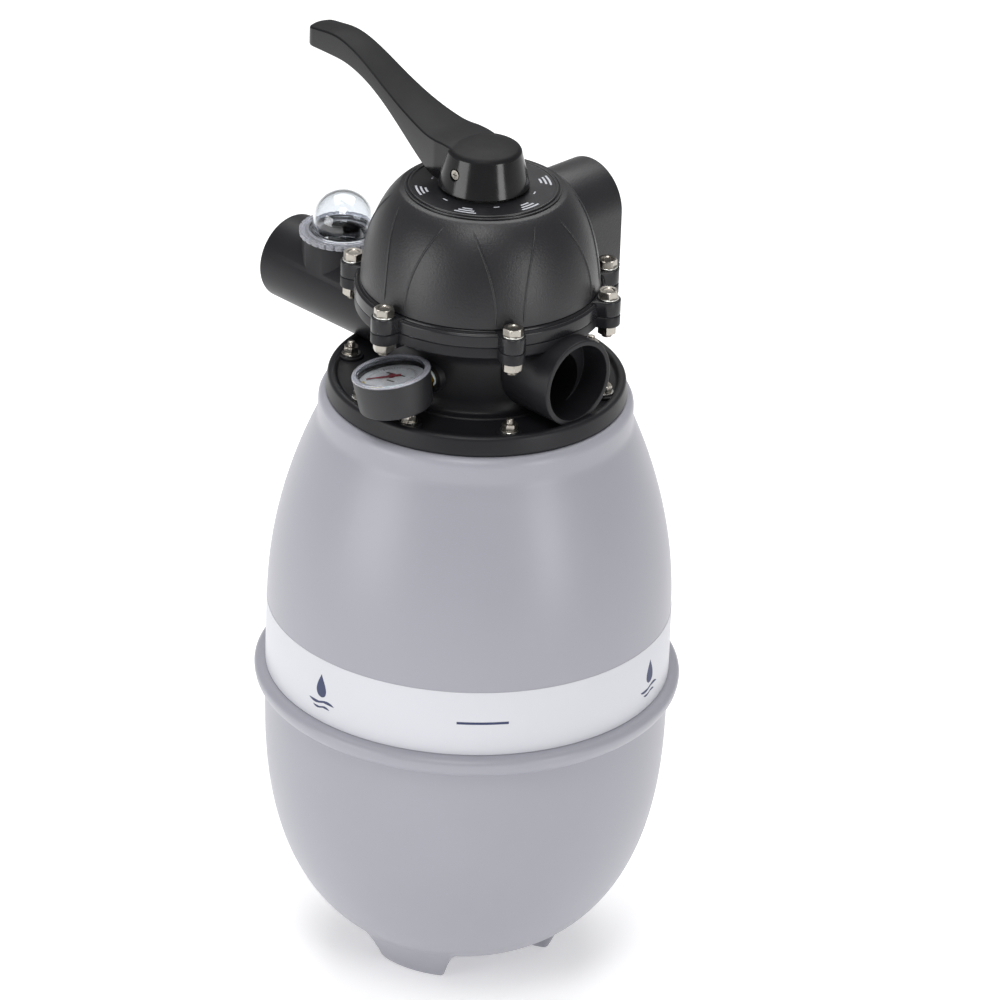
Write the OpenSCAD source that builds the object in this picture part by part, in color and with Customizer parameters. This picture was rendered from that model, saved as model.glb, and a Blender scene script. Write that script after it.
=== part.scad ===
// Top-mount sand filter: a blow-moulded tank with a lever-operated valve bolted to its neck.
// Origin: on the floor, on the tank's axis. +Z up, return port along +X, pump port along +Y.

/* [Tank] */
// Outer radius of the tank's belly
tank_r = 149.4; // [148:0.2:151]
// Wall thickness of the tank
tank_wall = 4; // [3:0.5:5]
// Radius of the belly rib's crest
rib_r = 157.8; // [154:0.2:160]
// Height of the tank's neck face above the floor
neck_z = 455.5; // [450:0.5:460]
// Height of the printed band
band_h = 51; // [40:1:51]
// Radius of the circle round the feet
foot_reach = 70; // [68:0.5:73]

/* [Valve] */
// Radius of the flange that is bolted to the neck
flange_r = 110; // [109:0.5:112]
// Radius of the circle of studs in the neck flange
stud_circle_r = 95.5; // [95:0.5:96]
// Radius of the circle of bolts round the cover
cover_bolt_r = 95.6; // [95:0.2:96.4]
// Outer radius of the ports
port_r = 32.4; // [32:0.1:33]
// Radius of the socket in each port
socket_r = 28.4; // [27:0.1:28.6]
// Depth of the socket in each port
socket_depth = 23; // [18:1:24]
// Reach of the return port from the axis
return_reach = 103; // [103:1:112]
// Reach of the waste port from the axis
waste_reach = 199; // [190:1:205]
// Reach of the pump port from the axis
pump_reach = 111.5; // [108:0.5:114]

/* [Handle] */
// Reach of the lever's tip from the axis
lever_reach = 177.5; // [174:0.5:182]
// Radius of the foot of the lever's hub
hub_r = 33.3; // [32:0.1:34]
// Radius of the top of the lever's hub
hub_top_r = 26; // [25:0.1:27]

/* [Hidden] */
$fn = 96;

// Tank
bowl_h = 205;              // height of the bowl's superellipse
bowl_z = 212;              // height of the belly above the floor
bowl_n = 2.6;              // exponent of the superellipse
tank_floor_z = 9;
belly_top_z = neck_z - 169.5;
crown_r = 325;             // radius of the arc from the belly up to the neck
collar_r = 115;            // radius of the upright wall round the neck face
collar_round = 7;
neck_bore_r = 66;
neck_t = 20;
rib_z = 229.5;
rib_up = 5;
rib_down = 11;
band_t = 0.3;
band_z = rib_z + rib_up + 0.5;
foot_az = [46, 166, 286];
foot_in = 34;
foot_half = 21.5;          // half of the angle that a foot spans
foot_flare = 10;
foot_h = 24;
insert_r = 5.5;
insert_h = 15;
drain_az = 109;
drain_z = 60;
drain_face = 126;
drain_boss_r = 16;
drain_r = 8;

// Levels of the valve
flange_t = 15;
flange_z = neck_z + flange_t;
field_z = neck_z + 11.5;   // top of the sunk field inside the flange's rim
seat_z = neck_z + 13.5;    // raised bosses where the flange's washers sit
return_z = neck_z + 44;
waste_z = neck_z + 37;
floor_z = neck_z + 6.5;    // floor of the valve's compartments
deck_z = neck_z + 67.5;    // top of the webs, where the rotor's gasket lies
body_rim_z = neck_z + 69;
joint_z = neck_z + 77.5;   // joint between body and cover
cover_rim_t = 10;
dome_z = joint_z + 13;
plate_z = neck_z + 161.5;
hub_z = plate_z + 4;
pin_z = plate_z + 18.5;
pump_z = joint_z + 42.5;

// Valve body
wall_r = 64;
wall_in = 59;
chamber_r = 78;
body_rim_r = 90.5;
web_t = 4;
web_az = [30, 90, 150, 210, 270, 330];
tank_ways = [60, 120];     // compartments that open down into the tank
pipe_r = 20;
pipe_wall = 2.5;
tube_r = 25;
spigot_r = 62;
spigot_h = 26;
lug_r = 9.3;
lug_drop = 8.5;
lug_rise = 12;
stud_az = [30, 75, 105, 150, 210, 255, 285, 330];
cover_bolt_az = [30, 62, 118, 150, 210, 270, 330];
glass_x = -144.5;
glass_z = neck_z + 74;     // face that the sight glass is screwed down on
glass_boss_r = 30;
glass_rim_r = 32.3;
glass_r = 22.7;
glass_rise = 11;           // centre of the dome above that face

// Studs and nuts of the flange, M6
stud_r = 3;
stud_nut_r = 5.77;
stud_nut_h = 5;
stud_end = 4;
stud_washer_r = 7;
stud_washer_t = 1.6;

// Fasteners of the cover, M8
bolt_r = 4;
hole_r = 4.3;
head_r = 7.5;
head_h = 5.3;
nut_h = 6.5;
bolt_end = 3.5;            // bolt's end below the nut
washer_t = 1.2;

// Cover
cover_rim_r = 91;
ring_at_r = 85;            // O-ring between body and cover
dome_r = 86.7;
dome_mid_r = 49;           // radius where the dome's curve would run level
dome_rise = 74.8;
dome_n = 1.73;
dome_in_z = plate_z - 11;
stem_r = 11;
ring_r = 1.7;
stem_ring_z = [joint_z + 66, joint_z + 74];
stem_boss_r = 16.5;

// Rotor, spring and label
gasket_t = 4;
rotor_z = deck_z + gasket_t + 0.4;
rotor_r = 74;
rotor_t = 8;
rotor_hub_r = 24;
rotor_hub_z = joint_z + 15;
seat_washer_t = 1.5;
coil_r = 21;
wire_r = 2;
coil_turns = 6;
plate_r = 56.6;

// Handle
hub_h = 29;
hub_crown = 4;
hub_bore_r = 14;
stem_top_r = 9;
pin_r = 2.2;
pin_head_r = 3.6;
pin_sink = 3;              // depth of the seats for the pin's head and nut
tip_r = 7.8;

// Gauge: local frame at the tapping, outwards along -Y, turned and drooping a little
gauge_at = [14.5, -62, neck_z + 36];
gauge_droop = 6;
gauge_turn = -8;
gauge_c = -35;             // case's centre along the stem
gauge_bottom = -8;
gauge_top = 17.6;
gauge_r = 28.5;
gauge_foot_r = 26.8;
dial_z = 12;

function superellipse(a, b, t) = a * pow(1 - pow(t / b, bowl_n), 1 / bowl_n);
function bowl_side(gap, from_z, steps) = [for (i = [0:steps])
    let (z = from_z + (bowl_z - from_z) * (1 - pow(1 - i / steps, 1.6)))
    [superellipse(tank_r - gap, bowl_h - gap, bowl_z - z), z]];
function crown_side(gap, to_z, steps) = [for (i = [0:steps])
    let (z = belly_top_z + (to_z - belly_top_z) * i / steps)
    [tank_r - gap - (z - belly_top_z) * (z - belly_top_z) / (2 * crown_r), z]];
function quarter(cx, cz, a, b, from, to, steps) = [for (i = [0:steps])
    let (w = from + (to - from) * i / steps) [cx + a * cos(w), cz + b * sin(w)]];
function bezier(p, t) = pow(1 - t, 3) * p[0] + 3 * t * pow(1 - t, 2) * p[1]
    + 3 * t * t * (1 - t) * p[2] + pow(t, 3) * p[3];
function curve(p, steps) = [for (i = [0:steps]) bezier(p, i / steps)];

module ring(r_out, r_in, z0, z1) {
    translate([0, 0, z0]) difference() {
        cylinder(r = r_out, h = z1 - z0);
        translate([0, 0, -1]) cylinder(r = r_in, h = z1 - z0 + 2);
    }
}

module torus(r, section, z) {
    translate([0, 0, z]) rotate_extrude() translate([r, 0]) circle(r = section, $fn = 24);
}

module around(angles, r) {
    for (a = angles) rotate(a) translate([r, 0, 0]) children();
}

// A cylinder along +X from x0 to x1
module bar_x(r, x0, x1, z) {
    translate([x0, 0, z]) rotate([0, 90, 0]) cylinder(r = r, h = x1 - x0);
}

// A wedge of a disc, centred on the +X side
module wedge(half, r, z0, z1) {
    translate([0, 0, z0]) linear_extrude(z1 - z0)
        polygon([[0, 0], [r * cos(half), -r * sin(half)], [r * 1.2, 0], [r * cos(half), r * sin(half)]]);
}

// ---- tank ----

// A foot is a sector of a ring, flared up into the bowl
module foot_block(gap) {
    intersection() {
        difference() {
            translate([0, 0, gap]) cylinder(r1 = foot_reach - gap, r2 = foot_reach + foot_flare - gap, h = foot_h - gap);
            cylinder(r = foot_in + gap, h = foot_h + 1);
        }
        translate([1.4 * gap, 0, 0]) wedge(foot_half - gap, 100, 0, foot_h + 1);
    }
}

module tank_inside() {
    rotate_extrude() polygon(concat(
        [[0, tank_floor_z + tank_wall]],
        bowl_side(tank_wall, tank_floor_z + tank_wall, 16),
        crown_side(tank_wall, neck_z - neck_t, 10),
        [[0, neck_z - neck_t]]));
    around(foot_az, 0) foot_block(tank_wall);
}

module drain_at() {
    rotate(drain_az) translate([0, 0, drain_z]) rotate([0, 90, 0]) children();
}

module tank_shell() {
    color("#a9abb2") difference() {
        union() {
            rotate_extrude() polygon(concat(
                [[0, tank_floor_z]],
                bowl_side(0, tank_floor_z, 22),
                quarter(tank_r, rib_z, rib_r - tank_r, rib_down, -90, 0, 6),
                quarter(tank_r, rib_z, rib_r - tank_r, rib_up, 15, 90, 5),
                crown_side(0, belly_top_z + sqrt(2 * crown_r * (tank_r - collar_r)), 14),
                quarter(collar_r - collar_round, neck_z - collar_round, collar_round, collar_round, 0, 90, 6),
                [[0, neck_z]]));
            around(foot_az, 0) foot_block(0);
            drain_at() translate([0, 0, 100]) cylinder(r = drain_boss_r, h = drain_face - 100);
        }
        tank_inside();
        drain_at() translate([0, 0, 90]) cylinder(r = drain_r + 0.1, h = 60);
        translate([0, 0, neck_z - neck_t - 1]) cylinder(r = neck_bore_r, h = neck_t + 2);
        around(stud_az, stud_circle_r)
            translate([0, 0, neck_z - insert_h]) cylinder(r = insert_r, h = insert_h + 1);
    }
}

module band_label() {
    color("#e4e6ee") ring(tank_r + band_t, tank_r, band_z, band_z + band_h);
}

module neck_inserts() {
    color("#b8963f") around(stud_az, stud_circle_r) ring(insert_r, stud_r, neck_z - insert_h, neck_z);
}

module drain_plug() {
    cap_z = drain_face + 1.5;
    color("#2a2b2d") drain_at() union() {
        translate([0, 0, 106]) cylinder(r = drain_r, h = cap_z - 106 + 1);
        translate([0, 0, cap_z]) cylinder(r = 13, h = 5);
        translate([0, 0, cap_z + 4]) cylinder(r = 9, h = 6, $fn = 6);
    }
}

module drain_gasket() {
    color("#1c1c1c") drain_at() ring(12.5, drain_r, drain_face, drain_face + 1.5);
}

// ---- underdrain and pipe ----

lateral_z = 55;
lateral_r = 8;
lateral_in = 26;
lateral_out = 100;

module laterals() {
    color("#d9d9d4") for (a = [22.5:45:337.5]) rotate(a) difference() {
        bar_x(lateral_r, lateral_in - 8, lateral_out, lateral_z);
        bar_x(lateral_r - 1.5, lateral_in - 9, lateral_out - 2, lateral_z);
        for (x = [lateral_in + 12:9:lateral_out - 8])
            translate([x, 0, lateral_z - 2]) cube([0.6, 2 * lateral_r + 2, 2 * lateral_r - 2], center = true);
    }
}

module lateral_hub() {
    color("#d9d9d4") difference() {
        translate([0, 0, lateral_z - 14]) cylinder(r = lateral_in, h = 38);
        translate([0, 0, lateral_z - 11]) cylinder(r = pipe_r - 5, h = 40);
        translate([0, 0, lateral_z + 10]) cylinder(r = pipe_r, h = 20);
        for (a = [22.5:45:337.5]) rotate(a) bar_x(lateral_r, lateral_in - 8, lateral_in + 2, lateral_z);
        for (a = [22.5:45:337.5]) rotate(a) bar_x(lateral_r - 2, 0, lateral_in, lateral_z);
    }
}

module standpipe() {
    color("#e6e6e2") ring(pipe_r, pipe_r - pipe_wall, lateral_z + 10, neck_z + 4);
}

module top_diffuser() {
    top = neck_z - 8;
    bottom = neck_z - 58;
    color("#2b2c2e") difference() {
        translate([0, 0, bottom]) cylinder(r1 = 50, r2 = spigot_r - 4, h = top - bottom);
        translate([0, 0, bottom + 2]) cylinder(r1 = 48, r2 = spigot_r - 6, h = top - bottom);
        translate([0, 0, bottom - 1]) cylinder(r = pipe_r + 0.4, h = 10);
        for (a = [0:15:345]) rotate(a) translate([52, 0, bottom + 18]) cube([20, 3, 20], center = true);
    }
}

// ---- valve body ----

module flange_gasket() {
    color("#1b1b1b") ring(84, 74, neck_z, neck_z + 2.5);
}

module lugs(z0, z1) {
    around(cover_bolt_az, cover_bolt_r) translate([0, 0, z0]) union() {
        cylinder(r = lug_r, h = z1 - z0, $fn = 48);
        translate([-12, -lug_r, 0]) cube([12, 2 * lug_r, z1 - z0]);
    }
}

module lug_holes(z0, z1) {
    around(cover_bolt_az, cover_bolt_r) translate([0, 0, z0]) cylinder(r = hole_r, h = z1 - z0);
}

module body_outside() {
    ramp_z = body_rim_z - 14;
    rotate_extrude() polygon([[0, neck_z], [flange_r, neck_z], [flange_r - 1.5, flange_z - 1.5],
        [flange_r - 3, flange_z], [flange_r - 7, flange_z], [flange_r - 9, field_z], [wall_r + 4, field_z],
        [wall_r + 1, field_z + 3], [wall_r, field_z + 8], [wall_r, ramp_z], [wall_r + 8, ramp_z + 8],
        [wall_r + 19, body_rim_z - 3], [wall_r + 20, body_rim_z], [body_rim_r - 1, body_rim_z],
        [body_rim_r, body_rim_z + 1], [body_rim_r, joint_z], [0, joint_z]]);
    ring(spigot_r, spigot_r - 4, neck_z - spigot_h, neck_z + 1);
    translate([0, 0, neck_z - spigot_h]) cylinder(r = tube_r, h = spigot_h + 1);
    lugs(joint_z - lug_drop, joint_z);
    around(stud_az, stud_circle_r) translate([0, 0, field_z - 1]) cylinder(r = 9, h = seat_z - field_z + 1);
    bar_x(port_r, 40, return_reach, return_z);
    bar_x(port_r, -waste_reach, -40, waste_z);
    translate([glass_x, 0, waste_z]) cylinder(r = glass_boss_r, h = glass_z - waste_z);
    gauge_place() translate([0, -1.2, 0]) rotate([-90, 0, 0]) cylinder(r = 12, h = 10);
}

// The six compartments between the webs, round the central tube
module compartments() {
    difference() {
        translate([0, 0, floor_z]) cylinder(r = wall_in, h = deck_z - floor_z + 1);
        for (a = web_az) rotate(a) translate([0, -web_t / 2, floor_z - 1]) cube([70, web_t, 80]);
        translate([0, 0, floor_z - 1]) cylinder(r = tube_r, h = 80);
    }
}

module valve_body() {
    way_r = 22;
    way_z = neck_z + 37;
    color("#27282b") difference() {
        body_outside();
        difference() {
            compartments();
            gauge_place() translate([0, -1.2, 0]) rotate([-90, 0, 0]) cylinder(r = 12, h = 10);
        }
        translate([0, 0, deck_z]) cylinder(r = chamber_r, h = 20);
        ring(ring_at_r + 1.7, ring_at_r - 1.7, joint_z - 3, joint_z + 1);
        // central tube, its socket for the standpipe and its window
        translate([0, 0, neck_z - spigot_h - 1]) cylinder(r = pipe_r, h = spigot_h + 5);
        translate([0, 0, neck_z - 1]) cylinder(r = pipe_r - 3, h = deck_z - neck_z - 6);
        rotate(240) bar_x(14, 0, tube_r + 3, way_z);
        // floor openings into the tank
        for (a = tank_ways) rotate(a) intersection() {
            ring(wall_in - 2, tube_r + 3, neck_z - 1, floor_z + 1);
            wedge(24, 60, neck_z - 2, floor_z + 2);
        }
        // ports
        bar_x(socket_r, return_reach - socket_depth, return_reach + 1, return_z);
        bar_x(way_r, 44, return_reach - socket_depth + 1, way_z);
        bar_x(socket_r, -waste_reach - 1, -waste_reach + socket_depth, waste_z);
        bar_x(26, -waste_reach + 2, -100, waste_z);
        bar_x(way_r, -106, -44, way_z);
        // sight glass seat
        translate([glass_x, 0, waste_z]) cylinder(r = 20, h = 60);
        translate([glass_x, 0, 0]) ring(24.6, 21.4, glass_z - 3, glass_z + 1);
        // gauge tapping
        gauge_place() translate([0, -6, 0]) rotate([-90, 0, 0]) cylinder(r = 7, h = 20);
        // stud holes, room for their nuts, lug holes and gasket groove
        around(stud_az, stud_circle_r) translate([0, 0, neck_z - 1]) cylinder(r = stud_r + 0.4, h = 20);
        around(stud_az, stud_circle_r) translate([0, 0, seat_z]) cylinder(r = 9, h = 20);
        lug_holes(joint_z - lug_drop - 1, joint_z + 1);
        ring(84, 74, neck_z - 1, neck_z + 2.5);
    }
}

module hex_bolt(z_head, length) {
    translate([0, 0, z_head]) cylinder(r = head_r, h = head_h, $fn = 6);
    translate([0, 0, z_head - length]) cylinder(r = bolt_r, h = length + 1);
}

module flange_studs() {
    foot = neck_z - insert_h + 1;
    top = seat_z + stud_washer_t + stud_nut_h + stud_end;
    color("#c9c7c2") around(stud_az, stud_circle_r) translate([0, 0, foot]) cylinder(r = stud_r, h = top - foot);
}

module flange_washers() {
    color("#d5d4d0") around(stud_az, stud_circle_r)
        ring(stud_washer_r, stud_r + 0.2, seat_z, seat_z + stud_washer_t);
}

module flange_nuts() {
    color("#c9c7c2") around(stud_az, stud_circle_r) translate([0, 0, seat_z + stud_washer_t]) difference() {
        cylinder(r = stud_nut_r, h = stud_nut_h, $fn = 6);
        translate([0, 0, -1]) cylinder(r = stud_r, h = stud_nut_h + 2);
    }
}

module sight_glass() {
    plug_z = glass_z - 12;
    color("#dfe6ea", 0.35) translate([glass_x, 0, 0]) difference() {
        union() {
            translate([0, 0, glass_z]) cylinder(r = glass_rim_r, h = 4);
            translate([0, 0, plug_z]) cylinder(r = 19.8, h = 14);
            intersection() {
                translate([0, 0, glass_z + glass_rise]) sphere(r = glass_r);
                translate([-40, -40, glass_z]) cube(80);
            }
        }
        translate([0, 0, glass_z + glass_rise]) sphere(r = glass_r - 2);
        translate([0, 0, plug_z - 1]) cylinder(r = 17.2, h = 24);
        around([0:12:348], glass_rim_r + 0.6) translate([0, 0, glass_z - 1]) cylinder(r = 1.8, h = 6, $fn = 16);
    }
}

module sight_glass_ring() {
    color("#1b1b1b") translate([glass_x, 0, 0]) torus(23, 1.5, glass_z - 1.5);
}

module rotor_gasket() {
    color("#8d8f92") difference() {
        translate([0, 0, deck_z]) cylinder(r = rotor_r, h = gasket_t);
        difference() {
            translate([0, 0, deck_z - 1]) cylinder(r = rotor_r - 10, h = gasket_t + 2);
            for (a = web_az) rotate(a) translate([0, -3.5, deck_z - 2]) cube([80, 7, gasket_t + 4]);
            translate([0, 0, deck_z - 2]) cylinder(r = tube_r, h = gasket_t + 4);
        }
    }
}

module cover_ring() {
    color("#1b1b1b") torus(ring_at_r, 1.5, joint_z - 1.5);
}

// ---- cover ----

function dome_side(r0, r1, rise, to_z, steps) = [for (i = [0:steps])
    let (t = (to_z - dome_z) * i / steps) [r1 + (r0 - r1) * sqrt(1 - pow(t / rise, dome_n)), dome_z + t]];

module cover_outside() {
    rim_z = joint_z + cover_rim_t;
    rotate_extrude() polygon(concat(
        [[0, joint_z], [cover_rim_r - 0.7, joint_z], [cover_rim_r, joint_z + 0.7], [cover_rim_r, rim_z - 1],
            [cover_rim_r - 1, rim_z], [dome_r + 1.2, rim_z], [dome_r, rim_z + 1]],
        dome_side(dome_r, dome_mid_r, dome_rise, plate_z, 18),
        [[0, plate_z]]));
    lugs(joint_z, joint_z + lug_rise);
    // pump port with its straight-sided skirt
    translate([0, 50, pump_z]) rotate([-90, 0, 0]) cylinder(r = port_r, h = pump_reach - 50);
    translate([-port_r, 60, joint_z]) cube([2 * port_r, pump_reach - 60, pump_z - joint_z]);
    translate([-port_r, body_rim_r + 1.5, joint_z - 6]) cube([2 * port_r, pump_reach - body_rim_r - 1.5, 10]);
}

module valve_cover() {
    color("#292a2d") difference() {
        cover_outside();
        difference() {
            rotate_extrude() polygon(concat(
                [[0, joint_z - 1], [chamber_r, joint_z - 1]],
                dome_side(chamber_r, dome_mid_r - 3, dome_in_z + 1 - dome_z, dome_in_z, 12),
                [[0, dome_in_z]]));
            translate([0, 0, joint_z + 59]) cylinder(r = stem_boss_r, h = 60);
        }
        translate([0, 0, joint_z]) cylinder(r = stem_r + 0.05, h = 120);
        for (z = stem_ring_z) ring(13.05 + ring_r, 5, z - ring_r, z + ring_r);
        translate([0, pump_reach - socket_depth, pump_z]) rotate([-90, 0, 0]) cylinder(r = socket_r, h = 40);
        translate([0, 55, pump_z]) rotate([-90, 0, 0]) cylinder(r = 22, h = 40);
        // coring under the port, open at the bottom of the skirt
        translate([-port_r + 5, body_rim_r + 5, joint_z - 10]) cube([2 * port_r - 10, 7, 16]);
        lug_holes(joint_z - 1, joint_z + 30);
    }
}

module cover_bolts() {
    head_z = joint_z + lug_rise + washer_t;
    length = lug_rise + washer_t + lug_drop + nut_h + bolt_end;
    color("#c9c7c2") around(cover_bolt_az, cover_bolt_r) hex_bolt(head_z, length);
}

module cover_washers() {
    seat = joint_z + lug_rise;
    color("#d5d4d0") around(cover_bolt_az, cover_bolt_r) ring(head_r + 0.4, hole_r, seat, seat + washer_t);
}

module cover_nuts() {
    top = joint_z - lug_drop;
    color("#c9c7c2") around(cover_bolt_az, cover_bolt_r) translate([0, 0, top - nut_h]) difference() {
        cylinder(r = head_r, h = nut_h, $fn = 6);
        translate([0, 0, -1]) cylinder(r = bolt_r, h = nut_h + 2);
    }
}

module stem_rings() {
    color("#1b1b1b") for (z = stem_ring_z) torus(13.05, ring_r, z);
}

module label_plate() {
    color("#232427") difference() {
        union() {
            translate([0, 0, plate_z]) cylinder(r = plate_r, h = 1.5);
            translate([0, 0, plate_z]) cylinder(r = plate_r - 2.6, h = 2.5);
        }
        translate([0, 0, plate_z - 1]) cylinder(r = stem_r + 3, h = 5);
    }
}

module stem_washer() {
    color("#dcdcd6") ring(26, stem_r + 0.4, plate_z + 2.5, plate_z + 3.5);
}

// ---- rotor, spring and handle ----

// Coil spring swept from rings of points along a helix
spring_z0 = rotor_hub_z + seat_washer_t + wire_r;
spring_z1 = dome_in_z - wire_r;
coil_steps = 24 * coil_turns;
wire_sides = 10;
function coil_point(i, j) =
    let (a = 360 * coil_turns * i / coil_steps, w = 360 * j / wire_sides, r = coil_r + wire_r * cos(w))
    [r * cos(a), r * sin(a), spring_z0 + (spring_z1 - spring_z0) * i / coil_steps + wire_r * sin(w)];

module valve_spring() {
    points = [for (i = [0:coil_steps], j = [0:wire_sides - 1]) coil_point(i, j)];
    sides = [for (i = [0:coil_steps - 1], j = [0:wire_sides - 1])
        let (k = (j + 1) % wire_sides, a = i * wire_sides)
        [a + j, a + wire_sides + j, a + wire_sides + k, a + k]];
    first = [for (j = [0:wire_sides - 1]) j];
    last = [for (j = [wire_sides - 1:-1:0]) coil_steps * wire_sides + j];
    color("#b9bcc0") polyhedron(points, concat(sides, [first, last]), convexity = 10);
}

module spring_washer() {
    color("#c4c6c8") ring(25, stem_r + 0.3, rotor_hub_z, rotor_hub_z + seat_washer_t);
}

module rotor() {
    stem_top = pin_z + 8;
    color("#e2e2dc") difference() {
        union() {
            translate([0, 0, rotor_z]) cylinder(r = rotor_r, h = rotor_t);
            translate([0, 0, rotor_z]) cylinder(r = rotor_hub_r, h = rotor_hub_z - rotor_z);
            translate([0, 0, rotor_z]) cylinder(r = stem_r, h = plate_z - 1.5 - rotor_z);
            translate([0, 0, rotor_z]) cylinder(r = stem_top_r, h = stem_top - rotor_z);
        }
        // window from the cover's chamber and bridge between two compartments
        intersection() {
            ring(62, rotor_hub_r + 5, rotor_z - 1, rotor_z + rotor_t + 1);
            wedge(24, 66, rotor_z - 2, rotor_z + rotor_t + 2);
        }
        rotate(150) intersection() {
            ring(62, rotor_hub_r + 5, rotor_z - 1, rotor_z + rotor_t - 2.5);
            wedge(52, 80, rotor_z - 2, rotor_z + rotor_t);
        }
        translate([0, 0, pin_z]) rotate([90, 0, 0]) cylinder(r = pin_r + 0.05, h = 60, center = true);
    }
}

// Side view of the lever: distance from the axis and height above the hub's foot
lever_under = [[32, 0], [70, 16], [95, 47], [139, 52]];
lever_over = [[150, 71], [118, 71], [92, 41], [34, 30]];
tip_z = 60;                // middle of the lever's rounded tip above the hub's foot
function lever_half(s) = 11 + 9 * pow((lever_reach - s) / 135, 2.2);

module lever_side() {
    polygon(concat(curve(lever_under, 12),
        quarter(lever_reach - tip_r, tip_z, tip_r, tip_r, -90, 70, 8),
        curve(lever_over, 12), [[0, hub_h + 1], [0, 6]]));
}

module lever_plan() {
    steps = 14;
    side = [for (i = [0:steps]) let (s = 38 + (lever_reach - 46) * i / steps) [s, lever_half(s)]];
    nose = quarter(lever_reach - 9, 0, 9, lever_half(lever_reach - 8), 84, 0, 7);
    polygon(concat([[0, 20]], side, nose, [for (i = [len(nose) - 2:-1:0]) [nose[i][0], -nose[i][1]]],
        [for (i = [steps:-1:0]) [side[i][0], -side[i][1]]], [[0, -20]]));
}

// Flat seats for the pin's head and nut, measured from the axis
pin_seat = hub_r - (hub_r - hub_top_r) * (pin_z - hub_z) / (hub_h - 1) - pin_sink;

module handle() {
    color("#1f2023") translate([0, 0, hub_z]) difference() {
        union() {
            rotate_extrude() polygon(concat([[0, 0], [hub_r, 0], [hub_top_r, hub_h - 1]],
                quarter(0, hub_h - 1, hub_top_r, hub_crown, 10, 90, 6)));
            rotate([0, 0, 180]) intersection() {
                rotate([90, 0, 0]) linear_extrude(60, center = true) lever_side();
                linear_extrude(100) lever_plan();
            }
        }
        translate([0, 0, -1]) cylinder(r = hub_bore_r, h = pin_z - hub_z + 11.5);
        translate([0, 0, pin_z - hub_z]) rotate([90, 0, 0]) cylinder(r = pin_r, h = 90, center = true);
        for (s = [-1, 1]) translate([0, s * pin_seat, pin_z - hub_z]) rotate([-90 * s, 0, 0])
            cylinder(r = 4.6, h = 20);
    }
}

module handle_pin() {
    color("#d0d0cc") translate([0, 0, pin_z]) rotate([90, 0, 0]) difference() {
        union() {
            translate([0, 0, -pin_seat - 3.2]) cylinder(r = pin_r, h = 2 * pin_seat + 4.2);
            translate([0, 0, pin_seat]) cylinder(r = pin_head_r, h = 2.6);
        }
        for (a = [0, 90]) rotate(a) translate([0, 0, pin_seat + 2.6]) cube([4.4, 0.9, 2], center = true);
    }
}

module handle_pin_nut() {
    color("#d0d0cc") translate([0, pin_seat, pin_z]) rotate([-90, 0, 0]) difference() {
        cylinder(r = 4.04, h = 3.2, $fn = 6);
        translate([0, 0, -1]) cylinder(r = pin_r, h = 6);
    }
}

// ---- pressure gauge ----

module gauge_place() {
    translate(gauge_at) rotate([gauge_droop, 0, 0]) rotate([0, gauge_turn, 0]) children();
}

// The same frame moved to the middle of the case
module dial_place() {
    gauge_place() translate([0, gauge_c, 0]) children();
}

module gauge_case() {
    color("#303136") dial_place() difference() {
        translate([0, 0, gauge_bottom]) cylinder(r1 = gauge_foot_r, r2 = gauge_r, h = gauge_top - gauge_bottom);
        translate([0, 0, gauge_bottom + 2]) cylinder(r = gauge_foot_r - 2, h = 40);
        translate([0, 0, gauge_top - 4]) cylinder(r = gauge_r - 2, h = 20);
        translate([0, 15, 0]) rotate([-90, 0, 0]) cylinder(r = 5, h = 20);
    }
}

module gauge_stem() {
    color("#b98f35") gauge_place() difference() {
        union() {
            translate([0, -2.9, 0]) rotate([-90, 0, 0]) cylinder(r = 6.4, h = 12);
            translate([0, -6.8, 0]) rotate([-90, 0, 0]) cylinder(r = 8.1, h = 3.9, $fn = 6);
            translate([0, -14, 0]) rotate([-90, 0, 0]) cylinder(r = 5, h = 8);
            translate([-5, -20, -5]) cube([10, 7, 10]);
        }
        translate([0, -17, 0]) rotate([-90, 0, 0]) cylinder(r = 1.5, h = 40);
        translate([0, -17, 1]) cylinder(r = 1.5, h = 3, center = true);
    }
}

module gauge_tape() {
    color("#dfe7e6") gauge_place() translate([0, -2.9, 0]) rotate([-90, 0, 0]) difference() {
        cylinder(r = 7, h = 11);
        translate([0, 0, -1]) cylinder(r = 6.4, h = 13);
    }
}

module gauge_bourdon_tube() {
    color("#c79a3c") dial_place() translate([0, 0, -3]) rotate(106) rotate_extrude(angle = 270)
        translate([20, 0]) circle(r = 1.6, $fn = 24);
}

module gauge_movement() {
    color("#c9a94f") dial_place() difference() {
        union() {
            translate([-9, -7, -2]) cube([18, 14, 2]);
            translate([-9, -7, 6]) cube([18, 14, 2]);
            for (x = [-7, 7]) translate([x, 0, -1]) cylinder(r = 1.6, h = 8);
            translate([-3, 6, -2]) cube([6, 9, 2]);
        }
        translate([0, 0, -10]) cylinder(r = 0.9, h = 30);
    }
}

module gauge_dial() {
    color("#e9eaec") dial_place() translate([0, 0, dial_z]) difference() {
        cylinder(r = gauge_foot_r - 2, h = 0.8);
        translate([0, 0, -1]) cylinder(r = 1.4, h = 3);
    }
}

module gauge_pointer() {
    color("#c23038") dial_place() union() {
        translate([0, 0, -2]) cylinder(r = 0.8, h = dial_z + 4);
        translate([0, 0, dial_z + 1.3]) cylinder(r = 2.4, h = 1.6);
        rotate(-135) translate([0, 0, dial_z + 1.5]) linear_extrude(0.8)
            polygon([[-7, -1.3], [0, -1.2], [19, -0.3], [19, 0.3], [0, 1.2], [-7, 1.3]]);
    }
}

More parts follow.
